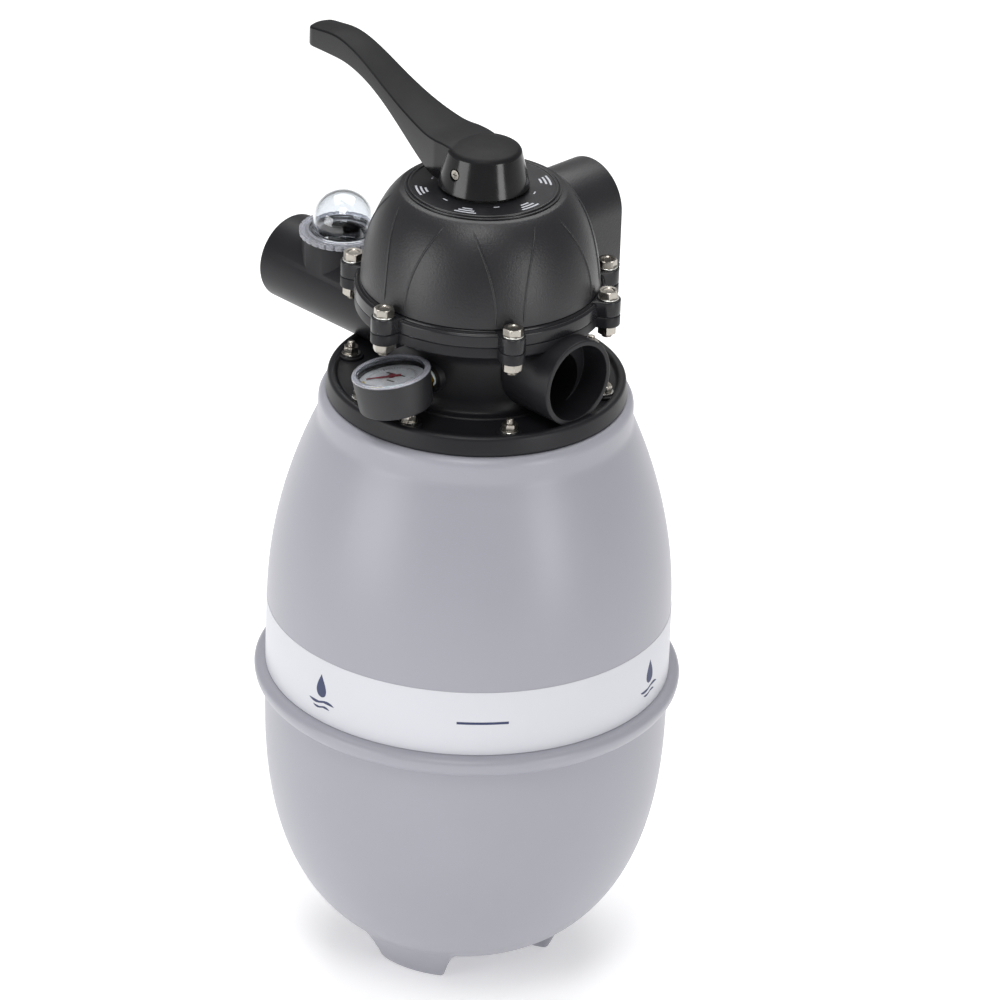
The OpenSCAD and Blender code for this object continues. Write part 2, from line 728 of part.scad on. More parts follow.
module gauge_window() {
    color("#e8eef2", 0.3) dial_place() difference() {
        union() {
            translate([0, 0, gauge_top]) cylinder(r = gauge_r, h = 1.2);
            translate([0, 0, gauge_top + 1.1]) cylinder(r1 = gauge_r - 0.6, r2 = gauge_r - 2, h = 0.9);
            ring(gauge_r - 2.1, gauge_r - 3.6, gauge_top - 3.5, gauge_top + 1);
        }
        translate([0, 0, gauge_top + 1.4]) cylinder(r = gauge_r - 4.5, h = 4);
    }
}

tank_shell();
band_label();
neck_inserts();
drain_plug();
drain_gasket();
laterals();
lateral_hub();
standpipe();
top_diffuser();
flange_gasket();
valve_body();
flange_studs();
flange_washers();
flange_nuts();
sight_glass();
sight_glass_ring();
rotor_gasket();
cover_ring();
valve_cover();
cover_bolts();
cover_washers();
cover_nuts();
stem_rings();
label_plate();
stem_washer();
valve_spring();
spring_washer();
rotor();
handle();
handle_pin();
handle_pin_nut();
gauge_case();
gauge_stem();
gauge_tape();
gauge_bourdon_tube();
gauge_movement();
gauge_dial();
gauge_pointer();
gauge_window();
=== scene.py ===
"""Finished surfaces, materials and stage for a top-mount sand filter, built round its CAD frame.

Every piece is worked out in millimetres in the row frame: origin on the floor on the tank's axis,
+Z up, return port along +X, pump port along +Y, lever and waste port along -X, gauge on the -Y side.
"""

import math

import bmesh
import bpy
import numpy as np
from mathutils import Matrix, Vector


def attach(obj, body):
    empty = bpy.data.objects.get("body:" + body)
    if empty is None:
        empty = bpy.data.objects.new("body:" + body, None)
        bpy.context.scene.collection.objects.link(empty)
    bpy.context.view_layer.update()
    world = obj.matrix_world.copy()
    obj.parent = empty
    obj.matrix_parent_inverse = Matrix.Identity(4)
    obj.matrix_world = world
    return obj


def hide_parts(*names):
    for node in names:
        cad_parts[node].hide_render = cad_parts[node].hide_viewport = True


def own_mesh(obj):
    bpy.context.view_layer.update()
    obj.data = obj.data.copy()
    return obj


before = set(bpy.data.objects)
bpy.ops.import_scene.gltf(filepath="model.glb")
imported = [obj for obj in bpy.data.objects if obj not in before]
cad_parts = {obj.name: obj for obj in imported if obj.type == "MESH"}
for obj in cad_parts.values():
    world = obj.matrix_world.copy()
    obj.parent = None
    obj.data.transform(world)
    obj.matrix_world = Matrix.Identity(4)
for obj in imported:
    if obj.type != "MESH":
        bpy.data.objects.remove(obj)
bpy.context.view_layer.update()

bl_info = {
    "name": "Sand filter finish",
    "version": (1, 0, 0),
    "blender": (4, 5, 0),
    "location": "3D View > Sidebar > Filter",
    "description": "Builds the finished surfaces, materials and stage of a top-mount sand filter",
    "category": "Object",
}

MM = 0.001

# tank: belly, its middle height, the bowl's depth under it, the wall, the belly's rib and the band
BELLY_R, BELLY_Z, BOWL_DEPTH, WALL = 149.4, 212.0, 205.0, 4.0
RIB_Z, RIB_OUT = 229.5, 8.38
BAND_Z = (235.0, 286.0)
BAND_R = 149.7
FOOT_AZ, FOOT_HALF = (46, 166, 286), 21.5
DRAIN_AZ, DRAIN_Z = 109, 60

# valve: top of the neck, joint between body and cover, seat of the label plate, underside of the lever
NECK_Z, JOINT_Z, PLATE_Z, LEVER_Z = 455.5, 533.0, 617.0, 621.0
SEAT_Z = NECK_Z + 13.5
LUG_TOP = JOINT_Z + 12
LUG_DROP = 8.5
STUD_AZ = (30, 75, 105, 150, 210, 255, 285, 330)
STUD_CIRCLE = 95.5
COVER_BOLT_AZ = (30, 62, 118, 150, 210, 270, 330)
COVER_CIRCLE = 95.6

# ports: outer and socket radius, socket depth, radius of the passage, heights of the three axes
PORT_R, SOCKET_R, SOCKET_DEPTH, PASSAGE_R = 32.4, 28.4, 23, 22
RETURN_Z, WASTE_Z, PUMP_Z = NECK_Z + 44, NECK_Z + 37, JOINT_Z + 42.5
GLASS_AT = Vector((-144.5, 0, 0))
GLASS_Z = NECK_Z + 74

# pressure gauge: its tapping, how far it droops and turns, and the face of its dial over the case
GAUGE_AT = Vector((14.5, -62.0, 491.5))
GAUGE_DROOP, GAUGE_TURN = 6.0, -8.0
GAUGE_OUT = 35.0
DIAL_TOP = 12.79


def linear(hex_colour):
    """An sRGB hex colour as linear red, green, blue: the gamma curve undone channel by channel."""
    s = np.array([int(hex_colour[i : i + 2], 16) / 255 for i in (1, 3, 5)])
    return tuple(np.where(s <= 0.04045, s / 12.92, ((s + 0.055) / 1.055) ** 2.4))


# ---------------------------------------------------------------- surfaces


def rounded(corners, steps=6):
    """Closed outline from corners (x, y, radius): each corner is cut back by its radius along both
    sides and bridged by the quadratic curve that leaves along one side and arrives along the other."""
    c = np.array(corners, float)
    p, r = c[:, :2], c[:, 2]
    back, ahead = np.roll(p, 1, 0) - p, np.roll(p, -1, 0) - p
    lb, la = np.linalg.norm(back, axis=1), np.linalg.norm(ahead, axis=1)
    a = p + back * (np.minimum(r, 0.49 * lb) / lb)[:, None]
    b = p + ahead * (np.minimum(r, 0.49 * la) / la)[:, None]
    t = np.linspace(0, 1, steps)[None, :, None]
    q = ((1 - t) ** 2 * a[:, None] + 2 * t * (1 - t) * p[:, None] + t**2 * b[:, None]).reshape(-1, 2)
    return q[np.linalg.norm(q - np.roll(q, 1, 0), axis=1) > 1e-6]


def grid(points, close_rows=True, close_columns=True):
    """(vertices, quads) of a grid of points shaped rows x columns x 3; a closed direction joins its
    last line to its first."""
    rows, columns = points.shape[:2]
    i = np.arange(rows if close_rows else rows - 1)[:, None]
    j = np.arange(columns if close_columns else columns - 1)[None, :]
    i2, j2 = (i + 1) % rows, (j + 1) % columns
    quads = np.stack([i * columns + j, i * columns + j2, i2 * columns + j2, i2 * columns + j], -1)
    return points.reshape(-1, 3), quads.reshape(-1, 4)


def capped(rows):
    """A tube of closed rows (rows x columns x 3) whose two ends close on their own middles."""
    first, last = (np.repeat(rows[k].mean(0)[None, None], rows.shape[1], 1) for k in (0, -1))
    return grid(np.concatenate([first, rows, last]), close_rows=False)


def spun(profile, steps=96, azimuths=None, shape=None):
    """A closed outline (radius, height) turned about Z. shape(radius, height, azimuth) may bend it:
    it gets whole arrays and returns the new radius and height."""
    az = np.linspace(0, 2 * np.pi, steps, endpoint=False) if azimuths is None else np.radians(azimuths)
    r = np.repeat(profile[:, :1], len(az), 1)
    z = np.repeat(profile[:, 1:2], len(az), 1)
    if shape is not None:
        r, z = shape(r, z, az[None, :] + 0 * r)
    return grid(np.stack([r * np.cos(az), r * np.sin(az), z], -1))


def pad(outline, levels):
    """A closed outline (x, y) standing on Z, as rows of (height, inset): each row is the outline moved
    inwards by its inset along the outline's own normals, and both ends close on their middle."""
    ahead, back = np.roll(outline, -1, 0), np.roll(outline, 1, 0)
    side = ahead - back
    normal = np.stack([side[:, 1], -side[:, 0]], 1) / np.linalg.norm(side, axis=1)[:, None]
    rows = [np.column_stack([outline - normal * inset, np.full(len(outline), z)]) for z, inset in levels]
    return capped(np.stack(rows))


def edge(z0, z1, r):
    """Levels of a pad with both edges rounded by r: quarter circles of inset against height."""
    a = np.radians([0, 22.5, 45, 67.5, 90])
    rise, inset = r * (1 - np.cos(a)), r * (1 - np.sin(a))
    return [*zip(z0 + rise, inset), *zip(z1 - rise[::-1], inset[::-1])]


def moved(part, matrix):
    """The part's vertices turned and shifted by a 4 x 4 matrix in millimetres."""
    v, f = part
    m = np.array(matrix)
    return v @ m[:3, :3].T + m[:3, 3], f


def turned(part, azimuth, radius=0.0, z=0.0):
    """The part shifted outwards by radius, then turned about Z by azimuth, and lifted by z."""
    m = Matrix.Rotation(math.radians(azimuth), 4, "Z") @ Matrix.Translation((radius, 0, z))
    return moved(part, m)


def along(part, x, y, z, axis):
    """The part's +Z laid along +X, -X, +Y or -Y, starting from (x, y, z)."""
    turn = {
        "+X": Matrix(((0, 0, 1, 0), (0, 1, 0, 0), (-1, 0, 0, 0), (0, 0, 0, 1))),
        "-X": Matrix(((0, 0, -1, 0), (0, 1, 0, 0), (1, 0, 0, 0), (0, 0, 0, 1))),
        "+Y": Matrix(((-1, 0, 0, 0), (0, 0, 1, 0), (0, 1, 0, 0), (0, 0, 0, 1))),
        "-Y": Matrix(((1, 0, 0, 0), (0, 0, -1, 0), (0, 1, 0, 0), (0, 0, 0, 1))),
    }[axis]
    return moved(part, Matrix.Translation((x, y, z)) @ turn)


def gauge_frame():
    """The gauge's own frame: at its tapping, outwards along -Y, turned and drooping a little."""
    return (
        Matrix.Translation(GAUGE_AT)
        @ Matrix.Rotation(math.radians(GAUGE_DROOP), 4, "X")
        @ Matrix.Rotation(math.radians(GAUGE_TURN), 4, "Y")
    )


def mesh_of(name, parts, finishes, picks=None):
    """One mesh from closed shells in millimetres: each shell's doubles are merged, its normals turned
    outwards, and picks gives the number of the finish for each shell."""
    whole = bmesh.new()
    for k, (v, f) in enumerate(parts):
        bm = bmesh.new()
        m = bpy.data.meshes.new("shell")
        m.from_pydata((np.asarray(v) * MM).tolist(), [], np.asarray(f).tolist())
        bm.from_mesh(m)
        bmesh.ops.remove_doubles(bm, verts=bm.verts, dist=2e-7)
        bmesh.ops.dissolve_degenerate(bm, dist=1e-8, edges=bm.edges)
        bmesh.ops.delete(bm, geom=[x for x in bm.edges if not x.link_faces], context="EDGES")
        bmesh.ops.delete(bm, geom=[x for x in bm.verts if not x.link_faces], context="VERTS")
        bmesh.ops.recalc_face_normals(bm, faces=bm.faces)
        for face in bm.faces:
            face.material_index = picks[k] if picks else 0
        bm.to_mesh(m)
        bm.free()
        whole.from_mesh(m)
        bpy.data.meshes.remove(m)
    mesh = bpy.data.meshes.new(name)
    whole.to_mesh(mesh)
    whole.free()
    for finish in finishes:
        mesh.materials.append(finish)
    return mesh


def smooth(mesh, angle=32):
    """Smooth shading that breaks where faces meet at more than the angle."""
    mesh.polygons.foreach_set("use_smooth", np.ones(len(mesh.polygons), bool))
    mesh.set_sharp_from_angle(angle=math.radians(angle))
    mesh.update()


def piece(name, parts, finishes, body, slot, nodes=(), picks=None, cut=(), angle=32):
    """A finished piece: closed shells joined in one object, bored by the cutting shells, riding on its
    body and standing for its CAD nodes. The record slot argument is not used."""
    finishes = finishes if isinstance(finishes, (list, tuple)) else [finishes]
    obj = bpy.data.objects.new(name, mesh_of(name, parts, finishes, picks))
    bpy.context.scene.collection.objects.link(obj)
    if cut:
        tool = bpy.data.objects.new("tool", mesh_of("tool", cut, finishes[:1]))
        bpy.context.scene.collection.objects.link(tool)
        mod = obj.modifiers.new("bore", "BOOLEAN")
        mod.operation = "DIFFERENCE"
        mod.solver = "EXACT"
        mod.use_self = True
        mod.object = tool
        bpy.context.view_layer.update()
        graph = bpy.context.evaluated_depsgraph_get()
        done = bpy.data.meshes.new_from_object(obj.evaluated_get(graph))
        if len(done.polygons) < 10:
            raise RuntimeError(f"boring {name} left nothing")
        obj.modifiers.clear()
        obj.data = done
        done.name = name
        bpy.data.objects.remove(tool)
    smooth(obj.data, angle)
    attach(obj, body)
    if nodes:
        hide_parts(*nodes)
    return obj


# ---------------------------------------------------------------- materials


def add(tree, kind, settings=None, inputs=None):
    """Adds one shader node with its settings; an input, by name or number, is a value or another
    node's output."""
    n = tree.nodes.new(kind)
    for key, value in (settings or {}).items():
        setattr(n, key, value)
    for key, value in (inputs or {}).items():
        if isinstance(value, bpy.types.NodeSocket):
            tree.links.new(value, n.inputs[key])
        else:
            n.inputs[key].default_value = value
    return n


def start(name, **sockets):
    """A new material with one principled shader whose uniform values sit on its own sockets, and the
    object coordinates for its patterns."""
    mat = bpy.data.materials.new(name)
    mat.use_nodes = True
    tree = mat.node_tree
    tree.nodes.clear()
    values = {key.replace("_", " "): value for key, value in sockets.items()}
    shader = add(tree, "ShaderNodeBsdfPrincipled", inputs=values)
    add(tree, "ShaderNodeOutputMaterial", inputs={"Surface": shader.outputs[0]})
    place = add(tree, "ShaderNodeTexCoord").outputs["Object"]
    return mat, tree, shader, place


def dress(tree, shader, patterns):
    """Links each pattern to the shader's socket of that name."""
    for socket, pattern in patterns.items():
        tree.links.new(pattern, shader.inputs[socket])


def shade(colour, factor):
    """The linear colour made darker or lighter by a factor, and no lighter than white."""
    return (*np.minimum(np.array(colour) * factor, 1), 1)


def moulded(name, colour, roughness, grain_mm, grain_depth, mottle=0.08, wave_mm=40, wave_depth=0, sheen=0.5):
    """Moulded plastic: a fine grain from the etched mould, slow flow marks, and uneven gloss."""
    mat, tree, shader, place = start(name, IOR=1.5, Specular_IOR_Level=sheen)
    fine = {"Vector": place, "Scale": 1000 / grain_mm, "Detail": 3.0, "Roughness": 0.6}
    grain = add(tree, "ShaderNodeTexNoise", inputs=fine).outputs[0]
    slow = {"Vector": place, "Scale": 1000 / wave_mm, "Detail": 4.0}
    flow = add(tree, "ShaderNodeTexNoise", inputs=slow).outputs[0]
    tones = {0: flow, 6: shade(colour, 1 - mottle), 7: shade(colour, 1 + mottle)}
    tone = add(tree, "ShaderNodeMix", {"data_type": "RGBA"}, tones)
    uneven = {"Value": flow, "To Min": roughness - 0.06, "To Max": roughness + 0.06}
    gloss = add(tree, "ShaderNodeMapRange", inputs=uneven)
    skin = {"Height": grain, "Strength": 1.0, "Distance": grain_depth * MM}
    if wave_depth:
        swell = {"Height": flow, "Strength": 1.0, "Distance": wave_depth * MM}
        skin["Normal"] = add(tree, "ShaderNodeBump", inputs=swell).outputs[0]
    relief = add(tree, "ShaderNodeBump", inputs=skin)
    dress(tree, shader, {
        "Base Color": tone.outputs[2], "Roughness": gloss.outputs[0], "Normal": relief.outputs[0],
    })
    return mat


def metal(name, colour, roughness, scratch_mm, stretch=(1, 1, 1), depth=0.004):
    """Machined or drawn metal: fine marks stretched along the tool's path, in gloss and in height."""
    mat, tree, shader, place = start(name, Metallic=1.0)
    path = add(tree, "ShaderNodeMapping", inputs={"Vector": place, "Scale": stretch}).outputs[0]
    fine = {"Vector": path, "Scale": 1000 / scratch_mm, "Detail": 3.0}
    marks = add(tree, "ShaderNodeTexNoise", inputs=fine).outputs[0]
    stain = add(tree, "ShaderNodeTexNoise", inputs={"Vector": place, "Scale": 180.0, "Detail": 2.0})
    tones = {0: stain.outputs[0], 6: shade(colour, 0.82), 7: shade(colour, 1.08)}
    tone = add(tree, "ShaderNodeMix", {"data_type": "RGBA"}, tones)
    uneven = {"Value": marks, "To Min": roughness * 0.6, "To Max": roughness * 1.5}
    gloss = add(tree, "ShaderNodeMapRange", inputs=uneven)
    relief = add(tree, "ShaderNodeBump", inputs={"Height": marks, "Strength": 1.0, "Distance": depth * MM})
    dress(tree, shader, {
        "Base Color": tone.outputs[2], "Roughness": gloss.outputs[0], "Normal": relief.outputs[0],
    })
    return mat


def clear(name, colour, roughness=0.03, ior=1.58, through=1.0):
    """Clear moulded polycarbonate: hardly tinted, with faint flow lines and handling haze in its gloss."""
    mat, tree, shader, place = start(name, IOR=ior, Transmission_Weight=through, Base_Color=(*colour, 1))
    haze = add(tree, "ShaderNodeTexNoise", inputs={"Vector": place, "Scale": 90.0, "Detail": 5.0}).outputs[0]
    uneven = {"Value": haze, "To Min": roughness * 0.4, "To Max": roughness * 2.2}
    gloss = add(tree, "ShaderNodeMapRange", inputs=uneven)
    relief = add(tree, "ShaderNodeBump", inputs={"Height": haze, "Strength": 0.4, "Distance": 0.02 * MM})
    dress(tree, shader, {"Roughness": gloss.outputs[0], "Normal": relief.outputs[0]})
    return mat


FINISH = {}


def make_finishes(look):
    """Every finish of the object, by name."""
    black, lever = look.valve_colour, look.lever_colour
    FINISH.update(
        # blow-moulded HDPE: satin grey, faint orange peel and slow thickness waves from the parison
        tank=moulded("blow_moulded_hdpe", look.tank_colour, 0.36, 2.2, 0.02, 0.025, 70, 0.12),
        # printed vinyl: smooth and a little glossier than the tank, whiter than it
        band=moulded("printed_vinyl_band", look.band_colour, 0.4, 1.2, 0.006, 0.015, 50, 0.02),
        # screen ink: flat navy with a dry edge-to-edge mottle
        ink=moulded("navy_screen_ink", linear("#2a3358"), 0.5, 0.8, 0.004, 0.12, 8),
        # glass-filled ABS from an etched mould: black that scatters light into a fine sparkle
        body=moulded("etched_abs_body", black, 0.4, 0.9, 0.04, 0.14, 30, 0.03, 0.25),
        cover=moulded("etched_abs_cover", black, 0.38, 1.5, 0.2, 0.14, 26, 0.02, 0.5),
        # the same plastic off a polished part of the mould: sharper highlights along beads and lugs
        smooth=moulded("polished_abs_rim", black, 0.24, 1.5, 0.012, 0.1, 20, 0.03, 0.35),
        # polished mould: deep black with sharp reflections and light wear
        lever=moulded("polished_abs_lever", lever, 0.17, 3.0, 0.008, 0.1, 12, 0.06, 0.4),
        lever_top=moulded("etched_abs_lever_top", lever, 0.5, 0.9, 0.05, 0.12, 14, 0, 0.16),
        label=moulded("label_plate_abs", linear("#1b1b1e"), 0.3, 1.0, 0.01, 0.08, 12),
        # pad-printed marks: pale grey, slightly worn
        print=moulded("pad_printed_grey", linear("#b9bbc2"), 0.55, 0.6, 0.01, 0.2, 4),
        # EPDM: dead black with a dry bloom
        rubber=moulded("epdm_rubber", linear("#1d1d1e"), 0.7, 0.6, 0.02, 0.2, 6),
        seal=moulded("grey_spoke_seal_rubber", linear("#8d8f92"), 0.65, 0.7, 0.02, 0.1, 10),
        # injected polypropylene inside the tank: milky white
        white=moulded("white_polypropylene", linear("#deded8"), 0.42, 1.4, 0.02, 0.04, 30),
        gauge=moulded("gauge_case_abs", linear("#1c1c1f"), 0.5, 0.5, 0.035, 0.1, 12),
        dial=moulded("white_enamelled_dial", linear("#f2f3f5"), 0.35, 0.5, 0.003, 0.02, 9),
        red=moulded("red_enamel", linear("#9c2c3a"), 0.3, 0.5, 0.003, 0.06, 5),
        yellow=moulded("yellow_dial_ink", linear("#d9c63c"), 0.4, 0.5, 0.003, 0.06, 5),
        green=moulded("green_dial_ink", linear("#3fa886"), 0.4, 0.5, 0.003, 0.06, 5),
        mark=moulded("black_dial_ink", linear("#2b2c30"), 0.4, 0.5, 0.003, 0.06, 5),
        # PTFE tape: white film in overlapping turns with a cool tint
        tape=moulded("ptfe_thread_tape", linear("#dfe9e8"), 0.5, 0.9, 0.06, 0.08, 3, 0.08),
        # A2 stainless: turned faces show rings, pressed washers are smoother
        steel=metal("turned_stainless", linear("#b3aea6"), 0.28, 0.5, (1, 1, 4)),
        washer=metal("pressed_stainless_washer", linear("#dcdbd6"), 0.2, 0.9, (1, 1, 1)),
        spring=metal("drawn_spring_steel", linear("#b3b6ba"), 0.28, 0.4, (1, 1, 6)),
        brass=metal("turned_brass", linear("#c8a04a"), 0.27, 0.5, (3, 3, 1)),
        clear=clear("clear_polycarbonate", linear("#f1f4f7")),
        pane=clear("clear_gauge_lens", linear("#f4f6f8"), 0.02, 1.5),
        # the same plastic where ribs and mould marks scatter the light: a milky edge
        frost=clear("frosted_polycarbonate_rim", linear("#dfe1ec"), 0.16, 1.58, 0.72),
    )


# ---------------------------------------------------------------- settings


class FilterLook(bpy.types.PropertyGroup):
    """Sizes and colours that a user may change before building."""

    tank_colour: bpy.props.FloatVectorProperty(
        name="Tank colour", description="Colour of the moulded tank", subtype="COLOR",
        default=linear("#9b9ba4"),
    )
    band_colour: bpy.props.FloatVectorProperty(
        name="Band colour", description="Colour of the printed band", subtype="COLOR",
        default=linear("#cdced4"),
    )
    valve_colour: bpy.props.FloatVectorProperty(
        name="Valve colour", description="Colour of the valve's plastic", subtype="COLOR",
        default=linear("#1d1d20"),
    )
    lever_colour: bpy.props.FloatVectorProperty(
        name="Lever colour", description="Colour of the lever's plastic", subtype="COLOR",
        default=linear("#151517"),
    )
    edge_round: bpy.props.FloatProperty(
        name="Edge rounding", description="Radius of the moulded edges", unit="LENGTH", default=0.0012
    )
    ridge_height: bpy.props.FloatProperty(
        name="Ridge height", description="How far the leaf lines stand out of the cover", unit="LENGTH",
        default=0.0007,
    )


def look():
    """The scene's own settings."""
    return bpy.context.scene.filter_look


# ---------------------------------------------------------------- tank


def superellipse(a, b, t):
    """Half width of a superellipse of exponent 2.6 with half axes a and b, at height t from its middle."""
    return a * np.maximum(1 - np.clip(t / b, 0, 1) ** 2.6, 0) ** (1 / 2.6)


def soft_min(a, b, k):
    """The lower of two heights, with a fillet of size k where they cross."""
    h = np.clip(0.5 + 0.5 * (b - a) / k, 0, 1)
    return b * (1 - h) + a * h - k * h * (1 - h)


def foot_height(r, az, gap):
    """Height of the feet's surface over the floor: 0 under a foot, rising steeply past its inner, outer
    and side edges, each a plane or cone met in a rounded edge; far from a foot it is above the bowl."""
    far = 400.0
    best = np.full(r.shape, far)
    for middle in FOOT_AZ:
        a = np.abs((np.degrees(az) - middle + 180) % 360 - 180)
        side = (r * np.sin(np.radians(np.clip(a - FOOT_HALF, -FOOT_HALF, 90))) + gap) * 4.5
        outer, inner = (r - 72 + gap) * 2.6, (34 + gap - r) * 5
        walls = -soft_min(soft_min(-outer, -side, 8), soft_min(-inner, 0 * r, 6), 6)
        best = np.minimum(best, np.where(a > 85, far, walls))
    return np.maximum(best, 0) + gap


def crown_radius(r, z):
    """Radius of the crown: r up to the top of the band, then less by the height's square over 650."""
    return r - np.maximum(z - BAND_Z[1], 0) ** 2 / 650


def tank_profile():
    """Outlines of the tank: bowl, rib, crown and neck outside, and the same bowl and crown one wall
    further in. Both bowls are superellipses, straight above z = 212 mm and closed under it."""
    low = np.linspace(0, 112, 92)
    bowl_low = BELLY_Z - superellipse(BOWL_DEPTH, BELLY_R, low)
    bowl_z = bowl_low[-1] + (BELLY_Z - bowl_low[-1]) * np.linspace(0, 1, 40)[1:]
    under, over = np.radians(np.linspace(-90, 0, 14)), np.radians(np.linspace(0, 90, 10))[1:]
    crown_z = np.linspace(RIB_Z + 5, 434.5, 64)[1:]
    lip = np.radians(np.linspace(0, 90, 7))
    outside = np.concatenate([
        np.column_stack([low, np.maximum(bowl_low, 9)]),
        np.column_stack([superellipse(BELLY_R, BOWL_DEPTH, BELLY_Z - bowl_z), bowl_z]),
        np.column_stack([BELLY_R + RIB_OUT * np.cos(under), RIB_Z + 11 * np.sin(under)]),
        np.column_stack([BELLY_R + RIB_OUT * np.cos(over), RIB_Z + 5 * np.sin(over)]),
        np.column_stack([crown_radius(BELLY_R, crown_z), crown_z]),
        [[115.15, NECK_Z - 18], [115, NECK_Z - 14.5]],
        np.column_stack([108 + 7 * np.cos(lip), NECK_Z - 7 + 7 * np.sin(lip)]),
        [[66, NECK_Z], [66, NECK_Z - 20], [111, NECK_Z - 20]],
    ])
    inner_r, in_z, in_low = BELLY_R - WALL, np.linspace(430, 216, 30), np.linspace(140, 0, 60)
    inside = np.concatenate([
        np.column_stack([crown_radius(inner_r, in_z), in_z]),
        np.column_stack([in_low, BELLY_Z - superellipse(BOWL_DEPTH - WALL, inner_r, in_low)]),
    ])
    inside[:, 1] = np.maximum(inside[:, 1], 9 + WALL)
    return outside, inside


def tank_part():
    """The tank as one closed wall; its lowest rows take the height of the feet by a filleted minimum."""
    outside, inside = tank_profile()
    profile = np.concatenate([outside, inside])
    inner = np.concatenate([np.zeros(len(outside)), np.ones(len(inside))])[:, None]
    sides = [middle + side for middle in FOOT_AZ for side in (-FOOT_HALF, FOOT_HALF)]
    near = np.concatenate([side + np.linspace(-10, 9, 14) for side in sides])
    az = np.concatenate([np.linspace(0, 360, 200, endpoint=False), near % 360])

    def shape(r, z, a):
        """Lowers the bowl's rows onto the feet, a wall's thickness higher inside."""
        floor = np.where(inner > 0, foot_height(r, a, WALL), foot_height(r, a, 0.0))
        low = (z < 110) & (r < 135)
        return r, np.where(low, np.maximum(soft_min(z, floor, 20.0), inner * WALL), z)

    return spun(profile, azimuths=np.unique(np.round(az, 3)), shape=shape)


def on_band(shape, azimuth, z, radius, thick=0.06):
    """A flat closed outline (x across, y up) wrapped on the band: x becomes arc length, and the outline
    fills in rings to its middle on both faces."""
    middle, rings = shape.mean(0), np.linspace(0, 1, 11)
    rows = []
    for s, r in [*((s, radius + thick) for s in rings), *((s, radius) for s in rings[::-1])]:
        p = middle + (shape - middle) * s
        a = math.radians(azimuth) + p[:, 0] / radius
        rows.append(np.column_stack([r * np.cos(a), r * np.sin(a), z + p[:, 1]]))
    return grid(np.stack(rows), close_rows=False)


def drop(height):
    """Outline of a plain drop: a circle whose top is drawn up to a point by a power of the angle."""
    t = np.linspace(0, 2 * np.pi, 48, endpoint=False)
    return np.column_stack([0.36 * np.sin(t) * np.sin(t / 2) ** 1.4, 0.5 * np.cos(t)]) * height


def wave(width, thick, rise):
    """Outline of a wavy bar: one sine wave along its length, of even thickness, with round ends."""
    x = np.linspace(-0.5, 0.5, 22)
    y = rise * np.sin(2 * np.pi * x)
    t = thick / 2 * (1 - (2 * np.abs(x)) ** 8)
    return np.concatenate([np.column_stack([x * width, y + t]), np.column_stack([x * width, y - t])[::-1]])


def bar(x, y, width, height):
    """Outline of a rectangle round its middle."""
    w, h = width / 2, height / 2
    return np.array([[x - w, y - h], [x + w, y - h], [x + w, y + h], [x - w, y + h]])


class FILTER_OT_tank(bpy.types.Operator):
    """Builds the moulded tank with its feet and rib"""

    bl_idname = "filter.tank"
    bl_label = "Tank"

    def execute(self, context):
        piece("tank_wall", [tank_part()], FINISH["tank"], "filter", "tank_plastic", ["tank_shell"], angle=40)

        def outwards(part, distance):
            """The part's +Z laid outwards at the drain, starting that far from the tank's axis."""
            level = Matrix.Translation((distance, 0, DRAIN_Z)) @ Matrix.Rotation(math.pi / 2, 4, "Y")
            return moved(part, Matrix.Rotation(math.radians(DRAIN_AZ), 4, "Z") @ level)

        plug = rounded([
            (0, 0, 0), (7.9, 0, 1), (7.9, 21.5, 0), (13, 21.5, 1), (13, 26.5, 1), (8, 26.5, 0.3),
            (0, 26.5, 0),
        ])
        cap = [outwards(spun(plug), 106), outwards(hex_part(9.0, 0, 6, bottom=False), 131.5)]
        piece("drain_cap", cap, FINISH["body"], "filter", "cap_plastic", ["drain_plug"])
        boss = rounded([
            (0, 96, 0), (16, 96, 0), (16, 125.9, 1.2), (8.1, 125.9, 0.4), (8.1, 110, 0), (0, 110, 0),
        ])
        piece("drain_boss", [outwards(spun(boss, 48), 0)], FINISH["tank"], "filter", "tank_plastic")
        return {"FINISHED"}


class FILTER_OT_band(bpy.types.Operator):
    """Builds the printed band with plain water marks"""

    bl_idname = "filter.band"
    bl_label = "Band"

    def execute(self, context):
        z0, z1 = BAND_Z
        ring = [(BELLY_R - 0.02, z0, 0), (BAND_R, z0, 0.15), (BAND_R, z1, 0.15), (BELLY_R - 0.02, z1, 0)]
        band = [spun(rounded(ring, 4), 300)]
        piece("belly_band", band, FINISH["band"], "filter", "band_print", ["band_label"])
        marks, face = [], BAND_R + 0.01
        for azimuth in (270.5, 18.5):
            marks.append(on_band(drop(19), azimuth, 264.5, face))
            marks.append(on_band(wave(26, 1.7, 1.5), azimuth, 251.0, face))
            marks.append(on_band(wave(17, 1.3, 1.1), azimuth, 246.8, face))
        along_x, up = np.linspace(-19, 19, 30), np.ones(30)
        edges = np.column_stack([along_x, -up]), np.column_stack([along_x, up])[::-1]
        marks.append(on_band(np.concatenate(edges), 320, 261, face))
        piece("band_marks", marks, FINISH["ink"], "filter", "band_print")
        return {"FINISHED"}


# ---------------------------------------------------------------- valve body and cover


def lug_outline(r=9.3):
    """Outline of a lug: a half round outwards and straight cheeks back into the valve's wall."""
    a = np.radians(np.linspace(-90, 90, 25))
    arc = np.column_stack([r * np.cos(a), r * np.sin(a)])
    cheek = np.array([[-6, r + 0.3], [-12, r + 2.5], [-16, r + 2.5]])
    return np.concatenate([arc, cheek, cheek[::-1] * (1, -1)])


def lug_parts(z0, z1):
    """One lug at each cover bolt, between two heights."""
    return [turned(pad(lug_outline(), edge(z0, z1, 0.9)), az, COVER_CIRCLE) for az in COVER_BOLT_AZ]


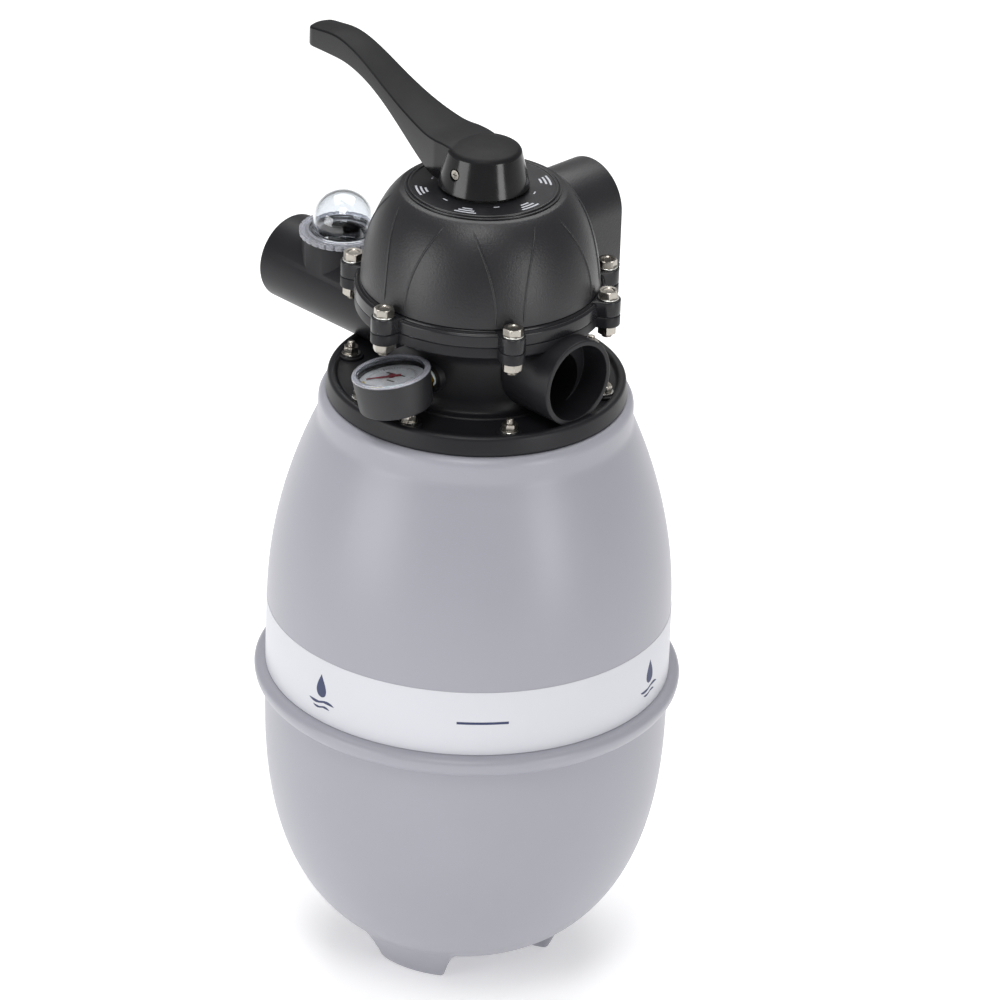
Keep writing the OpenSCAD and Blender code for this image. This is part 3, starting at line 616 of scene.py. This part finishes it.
def port_part(z, reach, rnd):
    """A port as a body turned about +Z: outer wall, round lip and blind socket."""
    floor = reach - SOCKET_DEPTH
    return spun(rounded([
        (0, z, 0), (PORT_R, z, 0), (PORT_R, reach, rnd), (SOCKET_R, reach, rnd * 0.6),
        (SOCKET_R, floor, 0.5), (0, floor, 0),
    ], 7))


def rod(r, z0, z1, steps=64):
    """A plain round bar on Z, used to bore and as a shank."""
    return spun(np.array([(0, z0), (r, z0), (r, z1), (0, z1)], float), steps)


class FILTER_OT_body(bpy.types.Operator):
    """Builds the valve body with its flange, ports and lugs"""

    bl_idname = "filter.body"
    bl_label = "Valve body"

    def execute(self, context):
        e = look().edge_round / MM
        n = NECK_Z
        wall = rounded([
            (0, n, 0), (109, n, 0.8), (110, n + 2, 1), (108.6, n + 13.4, 1.5), (106.6, n + 15, 1.5),
            (103.2, n + 15, 1.2), (101.2, n + 11.5, 1.2), (73, n + 11.5, 0.6), (72.4, n + 12.6, 0.6),
            (66.5, n + 12.8, 2.5), (64, n + 19, 4), (64, n + 54, 5), (70, n + 62, 6), (82.5, n + 66, 2),
            (84, n + 69, 1), (89.9, n + 69, 0.5), (90.5, n + 69.8, 0.5), (90.5, JOINT_Z, 0.9),
            (78, JOINT_Z, 0.5), (78, n + 67.5, 0.5), (59, n + 67.5, 0.8), (59, n + 6.5, 1.5), (0, n + 6.5, 0),
        ])
        bore = rod(PASSAGE_R, 0, 60)
        sides = [along(bore, 44, 0, WASTE_Z, "+X"), along(bore, -44, 0, WASTE_Z, "-X")]
        body = FINISH["body"], "filter", "valve_plastic"
        piece("valve_wall", [spun(wall, 160)], *body, ["valve_body"], cut=sides)
        inlet = [along(port_part(0, 45, e), 58, 0, RETURN_Z, "+X")]
        piece("return_pipe", inlet, *body, cut=[along(rod(PASSAGE_R, 0, 40), 50, 0, WASTE_Z, "+X")])
        outlet = along(port_part(0, 141, e), -58, 0, WASTE_Z, "-X")
        boss = spun(rounded([(0, WASTE_Z, 0), (30, WASTE_Z, 0), (30, GLASS_Z, e), (0, GLASS_Z, 0)]))
        at_glass = Matrix.Translation(GLASS_AT)
        groove = np.array([(21.4, n + 71), (24.6, n + 71), (24.6, n + 76), (21.4, n + 76)])
        wells = [
            along(rod(26, 0, 90), -98, 0, WASTE_Z, "-X"), along(bore, -50, 0, WASTE_Z, "-X"),
            moved(rod(20, WASTE_Z, n + 80), at_glass), moved(spun(groove, 64), at_glass),
        ]
        piece("waste_pipe", [outlet, moved(boss, at_glass)], *body, cut=wells)
        seat = [(0, n + 10, 0), (9.6, n + 10, 0), (9.2, SEAT_Z, 0.8), (0, SEAT_Z, 0)]
        parts = [turned(spun(rounded(seat), 40), az, STUD_CIRCLE) for az in STUD_AZ]
        parts += lug_parts(JOINT_Z - LUG_DROP, JOINT_Z - 0.02)
        tapping = rounded([(7.2, -4, 0), (12.4, -4, 0), (12, 1.2, 1.2), (7.2, 1.2, 0.6)])
        parts.append(moved(along(spun(tapping, 48), 0, 0, 0, "-Y"), gauge_frame()))
        parts.append(turned(pad(bar(73, 0, 22, 3), edge(n + 60, JOINT_Z - 9, 0.6)), 270))
        # the two tubes that reach down into the neck: round the valve's foot and round the standpipe
        parts.append(spun(rounded([(58, n - 26, 0.8), (62, n - 26, 0.8), (62, n + 1, 0), (58, n + 1, 0)])))
        parts.append(spun(rounded([
            (20.2, n - 26, 0.8), (25, n - 26, 0.8), (25, n + 67.4, 0.5), (20.2, n + 67.4, 0.5),
        ]), 64))
        piece("valve_bosses", parts, *body)
        return {"FINISHED"}


def dome_radius(z):
    """Radius of the dome at a height: r = 49 + 37.7 * sqrt(1 - t^1.73), t the height over 74.8 mm."""
    t = np.clip((z - 546) / 74.8, 0, 1)
    return 49 + 37.7 * np.sqrt(1 - t**1.73)


def ridge(side, middle, height):
    """One leaf line on the dome: a half-round bead carried along a curve whose distance from the leaf's
    middle narrows with height by a power law; it fades into the dome at both ends."""
    t = np.linspace(0.03, 0.94, 70)
    z = 546 + 71 * t
    az = np.radians(middle + side * 23.2 * (1 - 0.68 * t**2.4))
    r = dome_radius(z)
    p = np.column_stack([r * np.cos(az), r * np.sin(az), z])
    run = np.gradient(p, axis=0)
    run /= np.linalg.norm(run, axis=1)[:, None]
    slope = np.gradient(r, z)
    out = np.column_stack([np.cos(az), np.sin(az), -slope])
    out /= np.linalg.norm(out, axis=1)[:, None]
    across = np.cross(run, out)
    fade = np.clip(np.minimum((t - 0.03) / 0.1, (0.94 - t) / 0.07), 0.02, 1)
    a = np.linspace(0, 2 * np.pi, 12, endpoint=False)
    up = np.where(np.sin(a) > 0, height, 0.6)[None, :, None] * np.sin(a)[None, :, None] * out[:, None]
    wide = 0.95 * np.cos(a)[None, :, None] * across[:, None] * (0.4 + 0.6 * fade[:, None, None])
    body = p[:, None] + up * fade[:, None, None] + wide - 0.05 * out[:, None]
    return capped(body)


def u_outline(r, bottom):
    """Outline of the pump port seen along its axis: a half round over straight sides."""
    a = np.radians(np.linspace(0, 180, 49))
    arc = np.column_stack([r * np.cos(a), r * np.sin(a)])
    foot = rounded([(-r, bottom * 0.5, 0), (-r, bottom, 4), (r, bottom, 4), (r, bottom * 0.5, 0)], 5)
    return np.concatenate([arc, foot])


class FILTER_OT_cover(bpy.types.Operator):
    """Builds the domed cover with its leaf lines, lugs and pump port"""

    bl_idname = "filter.cover"
    bl_label = "Valve cover"

    def execute(self, context):
        e = look().edge_round / MM
        t = np.linspace(0, 71, 90)
        dome = np.column_stack([dome_radius(546 + t), 546 + t])
        under = np.linspace(60, 0, 50)
        hollow = np.column_stack([46 + 32 * np.sqrt(1 - (under / 61) ** 1.73), 546 + under])
        j = JOINT_Z
        foot = rounded([
            (78, j + 0.02, 0.3), (90.4, j + 0.02, 0.4), (91, j + 0.9, 0.5), (91, j + 9.2, 0.8),
            (89.9, j + 10, 0.5), (89.3, j + 10.6, 0.8), (88.3, j + 10.6, 0.8), (87.4, j + 10.1, 0.5),
            (86.7, j + 12, 0.8), (80, j + 12.5, 0),
        ])[:-1]
        seat = [[20, PLATE_Z], [11.05, PLATE_Z], [11.05, 606], [20, 606]]
        outline = np.concatenate([foot, dome, seat, hollow])
        inlet = along(rod(PASSAGE_R, 0, 60), 0, 55, PUMP_Z, "+Y")
        cover = FINISH["cover"], "filter", "cover_plastic"
        whole = piece("cover_dome", [spun(outline, 200)], [FINISH["cover"], FINISH["smooth"]], *cover[1:],
                      ["valve_cover"], cut=[inlet], angle=38)
        for face in whole.data.polygons:
            face.material_index = int(face.center.z < 0.5458)
        # the pump port stands over the two lines between the leaves at 60 and 120 degrees
        lines = [(side, middle) for middle in range(0, 360, 60) for side in (-1, 1)]
        lines = [line for line in lines if line not in ((1, 60), (-1, 120))]
        height = look().ridge_height / MM
        piece("cover_leaf_lines", [ridge(*line, height) for line in lines], *cover, angle=60)
        piece("cover_lugs", lug_parts(j + 0.02, LUG_TOP), FINISH["smooth"], *cover[1:])
        port = pad(u_outline(PORT_R, -42.4), [(0, 0), *edge(0, 51.5, e)[-5:]])
        socket, passage = rod(SOCKET_R, 0, 40), rod(PASSAGE_R, 0, 60)
        bores = [along(socket, 0, 88.5, PUMP_Z, "+Y"), along(passage, 0, 50, PUMP_Z, "+Y")]
        piece("pump_pipe", [along(port, 0, 60, PUMP_Z, "+Y")], *cover, cut=bores)
        lip = rounded([(-32.2, -48.5, 1.5), (32.2, -48.5, 1.5), (32.2, -40, 0), (-32.2, -40, 0)], 5)
        piece("pump_skirt", [along(pad(lip, edge(0, 19.3, e)), 0, 92, PUMP_Z, "+Y")], *cover)
        return {"FINISHED"}


# ---------------------------------------------------------------- fasteners


def hex_part(corner, z0, z1, top=True, bottom=True, dish=0.0, bore=0.0):
    """A hexagon turned on a lathe: its distance from the axis is the lower of the hexagon's own and a
    30 degree cone's, which cuts the corners; dish sinks the middle of the top face."""
    flat = corner * math.cos(math.pi / 6)
    levels = [(bore, z0), (flat * 0.9, z0), (flat, z0 + 0.02), (corner * 0.95, z0 + 0.35), (corner, z0 + 0.9)]
    if not bottom:
        levels = [(bore, z0), (corner, z0)]
    upper = [(corner, z1 - 0.9), (corner * 0.95, z1 - 0.35), (flat, z1 - 0.02), (flat * 0.93, z1)]
    if not top:
        upper = [(corner, z1)]
    if dish:
        upper += [(flat * 0.7, z1 - 0.15), (flat * 0.6, z1 - dish), (flat * 0.25, z1 - dish * 1.1)]
    levels = np.array(levels + upper + [(bore, upper[-1][1])], float)

    def shape(r, z, a):
        """Keeps each point inside the hexagon, whose side lies flat / cos(angle) from the axis."""
        side = (a + math.pi / 6) % (math.pi / 3) - math.pi / 6
        return np.minimum(r, np.maximum(flat / np.cos(side), bore)), z

    return spun(levels, 72, shape=shape)


def threaded(r, z0, z1, pitch):
    """A threaded end: a saw-tooth outline of that pitch, cut 0.6 of the pitch deep, with a turned tip."""
    n = max(int((z1 - z0) / pitch * 4), 8)
    z = np.linspace(z0, z1, n)
    depth = np.abs(((z - z0) / pitch) % 1 - 0.5) * 2 * 0.55 * pitch
    r_z = (r - depth) * np.minimum(1, np.minimum(z - z0, z1 - z) / 0.8 * 0.25 + 0.75)
    return spun(np.concatenate([[[0, z0]], np.column_stack([r_z, z]), [[0, z1]]]), 32)


def washer_part(r, hole, z0, z1):
    """A pressed washer: a flat ring with a softer upper edge."""
    return spun(rounded([(hole, z0, 0.2), (r, z0, 0.3), (r, z1, 0.45), (hole, z1, 0.3)], 4), 48)


class FILTER_OT_fasteners(bpy.types.Operator):
    """Builds the studs, bolts, nuts and washers"""

    bl_idname = "filter.fasteners"
    bl_label = "Fasteners"

    def execute(self, context):
        turn = np.radians(np.random.default_rng(7).uniform(0, 60, 30))
        spin = [Matrix.Rotation(angle, 4, "Z") for angle in turn]
        washer_top, under, shank = SEAT_Z + 1.6, JOINT_Z - LUG_DROP, 3.97
        steel = FINISH["steel"], "filter", "fastener_steel"
        washer = FINISH["washer"], "filter", "washer_steel"

        studs = [turned(threaded(2.98, washer_top, SEAT_Z + 10.6, 1.0), a, STUD_CIRCLE) for a in STUD_AZ]
        studs += [turned(rod(2.95, NECK_Z - 14, SEAT_Z + 2, 24), a, STUD_CIRCLE) for a in STUD_AZ]
        piece("flange_stud_set", studs, *steel, ["flange_studs"])
        nut = hex_part(5.77, 0, 5, bore=2.99)
        nuts = [turned(moved(nut, s), a, STUD_CIRCLE, washer_top) for a, s in zip(STUD_AZ, spin)]
        piece("flange_nut_set", nuts, *steel, ["flange_nuts"])
        rings = [turned(washer_part(7, 3.2, SEAT_Z, washer_top), a, STUD_CIRCLE) for a in STUD_AZ]
        piece("flange_washer_set", rings, *washer, ["flange_washers"])

        head, nut = hex_part(7.5, 0, 5.3, bottom=False, dish=0.9), hex_part(7.5, 0, 6.5, bore=3.98)
        bolts, nuts = [], []
        for a, head_spin, nut_spin in zip(COVER_BOLT_AZ, spin[10:], spin[20:]):
            bolts.append(turned(moved(head, head_spin), a, COVER_CIRCLE, LUG_TOP + 1.2))
            bolts.append(turned(rod(shank, under, LUG_TOP + 1.5, 32), a, COVER_CIRCLE))
            bolts.append(turned(threaded(shank, under - 10, under + 0.5, 1.25), a, COVER_CIRCLE))
            nuts.append(turned(moved(nut, nut_spin), a, COVER_CIRCLE, under - 6.5))
        piece("cover_bolt_set", bolts, *steel, ["cover_bolts"])
        piece("cover_nut_set", nuts, *steel, ["cover_nuts"])
        ring = washer_part(7.9, 4.3, LUG_TOP, LUG_TOP + 1.2)
        rings = [turned(ring, a, COVER_CIRCLE) for a in COVER_BOLT_AZ]
        piece("cover_washer_set", rings, *washer, ["cover_washers"])
        return {"FINISHED"}


# ---------------------------------------------------------------- label plate and lever


def arc_bar(radius, half, width, z, thick, middle):
    """A flat bar bent along an arc: an arc of that radius and half angle, width across, thick high."""
    a = np.radians(np.linspace(middle - half, middle + half, 14))
    ring = bar(radius, z + thick / 2, width, thick)
    rows = [np.column_stack([r * np.cos(a), r * np.sin(a), np.full(len(a), h)]) for r, h in ring]
    return capped(np.stack(rows, 1))


class FILTER_OT_label(bpy.types.Operator):
    """Builds the label plate with plain position marks"""

    bl_idname = "filter.label"
    bl_label = "Label plate"

    def execute(self, context):
        z = PLATE_Z
        outline = rounded([
            (14, z, 0), (56.6, z, 0.3), (56.6, z + 1.5, 0.6), (55, z + 1.5, 0.3), (54.7, z + 0.9, 0.2),
            (54.2, z + 0.9, 0.2), (54, z + 2.5, 0.7), (52.2, z + 2.5, 0.5), (51.8, z + 1.9, 0.3),
            (14, z + 1.9, 0.3),
        ])
        disc = [spun(outline, 160)]
        piece("label_disc", disc, FINISH["label"], "filter", "label_plastic", ["label_plate"])
        bars = []
        for middle in range(0, 360, 60):
            for radius, half in ((48.6, 9.5), (45.4, 7.5), (42.2, 5.0)):
                bars.append(arc_bar(radius, half, 1.5, z + 1.86, 0.1, middle))
            bars.append(arc_bar(38, 3.2, 1.0, z + 1.86, 0.1, middle + 30))
        piece("position_marks", bars, FINISH["print"], "filter", "label_plastic")
        return {"FINISHED"}


def bezier(p, t):
    """A cubic curve through two end points, drawn towards two others."""
    p, t = np.array(p, float), t[:, None]
    return (1 - t) ** 3 * p[0] + 3 * t * (1 - t) ** 2 * p[1] + 3 * t**2 * (1 - t) * p[2] + t**3 * p[3]


def lever_arm():
    """The arm as rounded-rectangle sections carried outwards: its under and upper sides are the two
    cubic curves of the side view, its width narrows by a power law, and the tip closes on a
    superellipse. The upper face is crowned by 1.2 mm and sinks into the hub's top."""
    t = np.linspace(0, 1, 120)
    under = bezier([(32, 0), (70, 16), (95, 47), (139, 52)], t)
    over = bezier([(150, 71), (118, 71), (92, 41), (34, 30)], t)[::-1]
    s = np.concatenate([np.linspace(4, 168, 100), 168 + 9.5 * np.sin(np.linspace(0, np.pi / 2, 16))[1:]])
    low = np.interp(s, np.append(under[:, 0], 177.5), np.append(under[:, 1], 52.2))
    high = np.interp(s, np.append(over[:, 0], 177.5), np.append(over[:, 1], 67.8)) - 1.2
    low = np.where(s < 32, 0.6, low)
    high = np.where(s < 36, 29.9, high) - 6 * np.clip((20 - s) / 20, 0, 1) ** 2
    kernel = np.ones(7) / 7
    for _ in range(2):
        low = np.convolve(np.pad(low, 3, "edge"), kernel, "valid")
        high = np.convolve(np.pad(high, 3, "edge"), kernel, "valid")
    half = 11 + 9 * np.clip((177.5 - s) / 135, 0, 1.1) ** 2.2
    q = np.clip((s - 169.5) / 8, 0, 1)
    close = (1 - q**2.4) ** (1 / 2.4)
    half, mid = half * (0.25 + 0.75 * close), (low + high) / 2
    tall = (high - low) / 2 * (0.72 + 0.28 * close)
    a = np.linspace(0, 2 * np.pi, 64, endpoint=False)
    ca, sa = np.cos(a)[None], np.sin(a)[None]
    rnd = np.minimum(1.4, 0.45 * np.minimum(half, tall))[:, None]
    y = np.sign(ca) * np.maximum(half[:, None] - rnd, 0) * (np.abs(ca) > 1e-9) + rnd * ca
    h = np.sign(sa) * np.maximum(tall[:, None] - rnd, 0) + rnd * sa
    # more columns across the two broad faces let the crown stay round
    u = np.unique(np.concatenate([np.arange(64), np.linspace(15, 17, 13), np.linspace(47, 49, 7)]))
    k = u.astype(int)
    n, f = (k + 1) % 64, (u - k)[None]
    y = y[:, k] * (1 - f) + y[:, n] * f
    h = h[:, k] * (1 - f) + h[:, n] * f
    h = h + 1.2 * (1 - (y / half[:, None]) ** 2) * (h > 0)
    return capped(np.stack([np.repeat(-s[:, None], y.shape[1], 1), y, LEVER_Z + mid[:, None] + h], -1))


class FILTER_OT_lever(bpy.types.Operator):
    """Builds the lever with its hub"""

    bl_idname = "filter.lever"
    bl_label = "Lever"

    def execute(self, context):
        z = LEVER_Z
        cone = rounded([
            (14, z, 0.5), (33.3, z, 0.6), (26.3, z + 28.2, 3.2), (14, z + 31.4, 9), (0, z + 31.8, 0),
            (0, z + 25, 0), (14, z + 25, 1),
        ], 9)
        skins = [FINISH["lever"], FINISH["lever_top"]], "handle", "lever_plastic"
        seats = [along(rod(4.6, 0, 14), 0, side * 27, z + 14.5, way) for side, way in ((-1, "-Y"), (1, "+Y"))]
        hub = piece("lever_hub", [spun(cone, 128)], *skins, ["handle"], cut=seats, angle=30)
        for face in hub.data.polygons:
            face.material_index = int(face.normal.z > 0.35 and face.center.z > 0.645)
        arm = piece("lever_arm", [lever_arm()], *skins, cut=[rod(14.2, z - 2, z + 25)], angle=50)
        for face in arm.data.polygons:
            face.material_index = int(face.normal.z > 0.45)
        return {"FINISHED"}


# ---------------------------------------------------------------- sight glass and gauge


class FILTER_OT_sight_glass(bpy.types.Operator):
    """Builds the clear dome with its notched ring"""

    bl_idname = "filter.sight_glass"
    bl_label = "Sight glass"

    def execute(self, context):
        z = GLASS_Z
        a = np.radians(np.linspace(-20, 90, 30))
        outer = np.column_stack([22.7 * np.cos(a), z + 11 + 22.7 * np.sin(a)])
        b = np.radians(np.linspace(90, -30, 30))
        inner = np.column_stack([20.7 * np.cos(b), z + 11 + 20.7 * np.sin(b)])
        inner = inner[inner[:, 1] > z + 3]
        base = rounded([
            (17.2, z - 12, 0.3), (19.8, z - 12, 0.5), (19.8, z - 0.05, 0.2), (32.3, z + 0.02, 0.4),
            (32.3, z + 4, 0.7),
            (28.6, z + 4, 0.3), (28.2, z + 3.2, 0.3), (26, z + 3.2, 0.4), (25.4, z + 4, 0.3),
            (22.0, z + 4, 0.3),
        ], 5)
        outline = np.concatenate([base, outer, inner, [[17.2, z + 1]]])

        def shape(r, h, az):
            """Thirty notches round the ring, each with a rounded floor."""
            notch = np.clip(1 - np.abs(((az / (2 * np.pi) * 30) % 1) - 0.5) / 0.17, 0, 1)
            return np.where(r > 30.5, r - 1.1 * np.sqrt(notch) * (r - 30.5) / 1.8, r), h

        dome = moved(spun(outline, 360, shape=shape), Matrix.Translation(GLASS_AT))
        glass = piece("sight_dome", [dome], [FINISH["clear"], FINISH["frost"]], "filter", "clear_plastic",
                      ["sight_glass"], angle=35)
        for face in glass.data.polygons:
            face.material_index = int((face.center / MM - GLASS_AT).xy.length > 24.5)
        return {"FINISHED"}


class FILTER_OT_gauge(bpy.types.Operator):
    """Builds the pressure gauge's case, dial and lens"""

    bl_idname = "filter.gauge"
    bl_label = "Gauge"

    def execute(self, context):
        here = gauge_frame() @ Matrix.Translation((0, -GAUGE_OUT, 0))
        case = rounded([
            (0, -8, 0), (26.6, -8, 1.6), (28.4, 17.6, 0.5), (26.6, 17.6, 0.3), (26.6, 13.6, 0.2),
            (24.9, 13.6, 0.3), (24.6, -6, 0.8), (0, -6, 0),
        ])
        hole = [moved(along(rod(5.05, 0, 20), 0, 15, 0, "+Y"), here)]
        can = [moved(spun(case, 128), here)]
        piece("gauge_can", can, FINISH["gauge"], "filter", "gauge_black", ["gauge_case"], cut=hole)
        rim = rounded([
            (24.4, 17.0, 0), (26.3, 15.2, 0.3), (26.4, 17.62, 0), (28.5, 17.62, 0.2), (28.5, 18.9, 0.5),
            (27.2, 19.6, 0.5), (25.2, 19.6, 0.5), (24.4, 18.9, 0.3), (0, 18.9, 0), (0, 17.7, 0),
            (24.2, 17.7, 0.2),
        ])
        lens = piece("gauge_lens", [moved(spun(rim, 128), here)], [FINISH["pane"], FINISH["frost"]], "filter",
                     "gauge_clear", ["gauge_window"])
        back = here.inverted()
        for face in lens.data.polygons:
            face.material_index = int((back @ (face.center / MM)).xy.length > 25)
        disc = rounded([(1.4, 12, 0), (24.5, 12, 0.1), (24.5, 12.8, 0.2), (1.4, 12.8, 0.1)])
        face = [moved(spun(disc, 96), here)]
        piece("gauge_face", face, FINISH["dial"], "filter", "dial_print", ["gauge_dial"])
        parts, picks = [], []
        for k in range(41):
            radius, half, width = (17.3, 0.9, 4.0) if k % 10 == 0 else (18.0, 0.5, 2.4)
            parts.append(arc_bar(radius, half, width, DIAL_TOP, 0.06, 225 - 270 * k / 40))
            picks.append(0)
        for start_at, end_at, pick in ((-130, -60, 1), (-58, -20, 2), (-18, 30, 3)):
            half, middle = (end_at - start_at) / 2, (start_at + end_at) / 2
            parts.append(arc_bar(21.6, half, 2.2, DIAL_TOP, 0.08, middle))
            picks.append(pick)
        for place in ((-6, 4.5, 9, 2.0), (5.5, 5.5, 6, 1.4), (4.5, -5.5, 8, 1.6)):
            parts.append(pad(bar(*place), [(DIAL_TOP, 0), (DIAL_TOP + 0.06, 0)]))
            picks.append(0)
        inks = [FINISH[ink] for ink in ("mark", "yellow", "green", "red")]
        piece("gauge_scale", [moved(p, here) for p in parts], inks, "filter", "dial_print", picks=picks)
        return {"FINISHED"}


# ---------------------------------------------------------------- spring


def coil(radius, wire, low, high, turns):
    """A compression spring: a wire carried round a helix whose first and last turn lie closed on their
    neighbours, so the height runs slowly, then evenly, then slowly again."""
    t = np.linspace(0, 1, 48 * turns + 1)
    rise = high - low - 2 * wire
    z = low + wire + np.interp(t, [0, 1 / turns, 1 - 1 / turns, 1], [0, 2 * wire, rise - 2 * wire, rise])
    a, w = 2 * np.pi * turns * t[:, None], np.linspace(0, 2 * np.pi, 12, endpoint=False)[None]
    r = radius + wire * np.cos(w)
    body = np.stack([r * np.cos(a), r * np.sin(a), z[:, None] + wire * np.sin(w)], -1)
    return capped(body)


class FILTER_OT_spring(bpy.types.Operator):
    """Builds the valve's spring at one fixed length; the real spring shortens as the rotor lifts"""

    bl_idname = "filter.spring"
    bl_label = "Spring"

    def execute(self, context):
        low, high, lift = 549.52, 605.98, 5.0
        wire = [coil(21, 1.98, low, high, 6)]
        steel = FINISH["spring"], "filter", "spring_steel"
        spring = piece("spring_coil", wire, *steel, ["valve_spring"], angle=60)
        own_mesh(spring)
        return {"FINISHED"}


# ---------------------------------------------------------------- inner and carried-over parts


CARRIED = {
    "neck_inserts": "brass", "drain_gasket": "rubber", "laterals": "white", "lateral_hub": "white",
    "standpipe": "white", "top_diffuser": "body", "flange_gasket": "rubber", "sight_glass_ring": "rubber",
    "rotor_gasket": "seal", "cover_ring": "rubber", "stem_rings": "rubber", "stem_washer": "white",
    "spring_washer": "washer", "rotor": "white", "handle_pin": "steel",
    "handle_pin_nut": "steel", "gauge_stem": "brass", "gauge_tape": "tape", "gauge_bourdon_tube": "brass",
    "gauge_movement": "brass", "gauge_pointer": "red",
}


class FILTER_OT_carried(bpy.types.Operator):
    """Gives every CAD part that stays its own finish"""

    bl_idname = "filter.carried"
    bl_label = "Carried-over parts"

    def execute(self, context):
        for node, finish in CARRIED.items():
            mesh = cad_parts[node].data
            mesh.materials.clear()
            mesh.materials.append(FINISH[finish])
        return {"FINISHED"}


# ---------------------------------------------------------------- stage


def soft_box(name, at, aim, width, height, power):
    """A rectangular lamp at a point in metres, facing another."""
    lamp = bpy.data.lights.new(name, "AREA")
    lamp.shape = "RECTANGLE"
    lamp.size, lamp.size_y, lamp.energy = width, height, power
    obj = bpy.data.objects.new(name, lamp)
    obj.matrix_world = Matrix.Translation(at) @ (
        (Vector(aim) - Vector(at)).to_track_quat("-Z", "Y").to_matrix().to_4x4()
    )
    bpy.context.scene.collection.objects.link(obj)


class FILTER_OT_stage(bpy.types.Operator):
    """Builds the camera, the lights and the pale floor"""

    bl_idname = "filter.stage"
    bl_label = "Stage"

    def execute(self, context):
        scene = context.scene
        cam = bpy.data.objects.new("camera", bpy.data.cameras.new("camera"))
        pitch, yaw, roll = 0.47416, 0.00452, 0.03698
        ahead = Vector((math.sin(yaw) * math.cos(pitch), math.cos(yaw) * math.cos(pitch), -math.sin(pitch)))
        right = ahead.cross(Vector((0, 0, 1))).normalized()
        up = right.cross(ahead)
        x = right * math.cos(roll) + up * math.sin(roll)
        y = up * math.cos(roll) - right * math.sin(roll)
        turn = Matrix((x, y, -ahead)).transposed().to_4x4()
        corner = Matrix.Rotation(math.radians(45), 4, "Z")
        cam.matrix_world = Matrix.Translation((3.1495, -3.1495, 2.652)) @ corner @ turn
        cam.data.sensor_width = 36
        cam.data.lens = 245.8
        cam.data.clip_end = 60
        scene.collection.objects.link(cam)
        scene.camera = cam
        bpy.ops.mesh.primitive_plane_add(size=60, location=(0, 0, 0))
        floor = context.active_object
        floor.name = "floor"
        white = (1, 1, 1, 1)
        # backlit opal sheet: matt white that glows a little, so contact shadows stay soft
        mat, tree, shader, place = start(
            "backlit_opal_table", Roughness=0.9, Specular_IOR_Level=0.2, Emission_Color=white,
            Emission_Strength=0.3,
        )
        cloud = add(tree, "ShaderNodeTexNoise", inputs={"Vector": place, "Scale": 3.0, "Detail": 2.0})
        tones = {0: cloud.outputs[0], 6: shade(linear("#f6f6f6"), 1), 7: shade(linear("#fcfcfc"), 1)}
        tone = add(tree, "ShaderNodeMix", {"data_type": "RGBA"}, tones)
        dress(tree, shader, {"Base Color": tone.outputs[2]})
        floor.data.materials.append(mat)
        world = bpy.data.worlds.new("studio")
        world.use_nodes = True
        sky = world.node_tree.nodes["Background"]
        sky.inputs["Color"].default_value = white
        sky.inputs["Strength"].default_value = 0.3
        scene.world = world
        scene.view_settings.view_transform = "Standard"
        soft_box("left_box", (-0.70, -2.60, 0.85), (0, 0, 0.4), 1.6, 1.4, 27)
        soft_box("right_box", (2.70, 0.10, 0.85), (0, 0, 0.4), 0.8, 1.4, 19)
        soft_box("top_box", (0.75, -1.00, 2.70), (0, 0, 0.5), 1.1, 1.1, 22)
        soft_box("back_box", (-0.90, 0.90, 2.60), (-0.70, 0.70, 0), 2.5, 2.5, 60)
        return {"FINISHED"}


class FILTER_PT_panel(bpy.types.Panel):
    """Lists the settings and the building steps"""

    bl_label = "Sand filter"
    bl_idname = "FILTER_PT_panel"
    bl_space_type = "VIEW_3D"
    bl_region_type = "UI"
    bl_category = "Filter"

    def draw(self, context):
        for name in FilterLook.__annotations__:
            self.layout.prop(context.scene.filter_look, name)
        for step in STEPS:
            self.layout.operator(step.bl_idname)


STEPS = (
    FILTER_OT_stage, FILTER_OT_tank, FILTER_OT_band, FILTER_OT_body, FILTER_OT_cover, FILTER_OT_fasteners,
    FILTER_OT_label, FILTER_OT_lever, FILTER_OT_sight_glass, FILTER_OT_gauge, FILTER_OT_spring,
    FILTER_OT_carried,
)
CLASSES = (FilterLook, *STEPS, FILTER_PT_panel)


def register():
    """Registers the classes and hangs the settings on the scene."""
    for cls in CLASSES:
        bpy.utils.register_class(cls)
    bpy.types.Scene.filter_look = bpy.props.PointerProperty(type=FilterLook)


def unregister():
    """Takes the settings and the classes away again."""
    del bpy.types.Scene.filter_look
    for cls in reversed(CLASSES):
        bpy.utils.unregister_class(cls)


def main():
    """Builds everything in order."""
    register()
    make_finishes(look())
    for step in STEPS:
        family, name = step.bl_idname.split(".")
        getattr(getattr(bpy.ops, family), name)()
    bpy.context.view_layer.update()


if __name__ == "__main__":
    main()
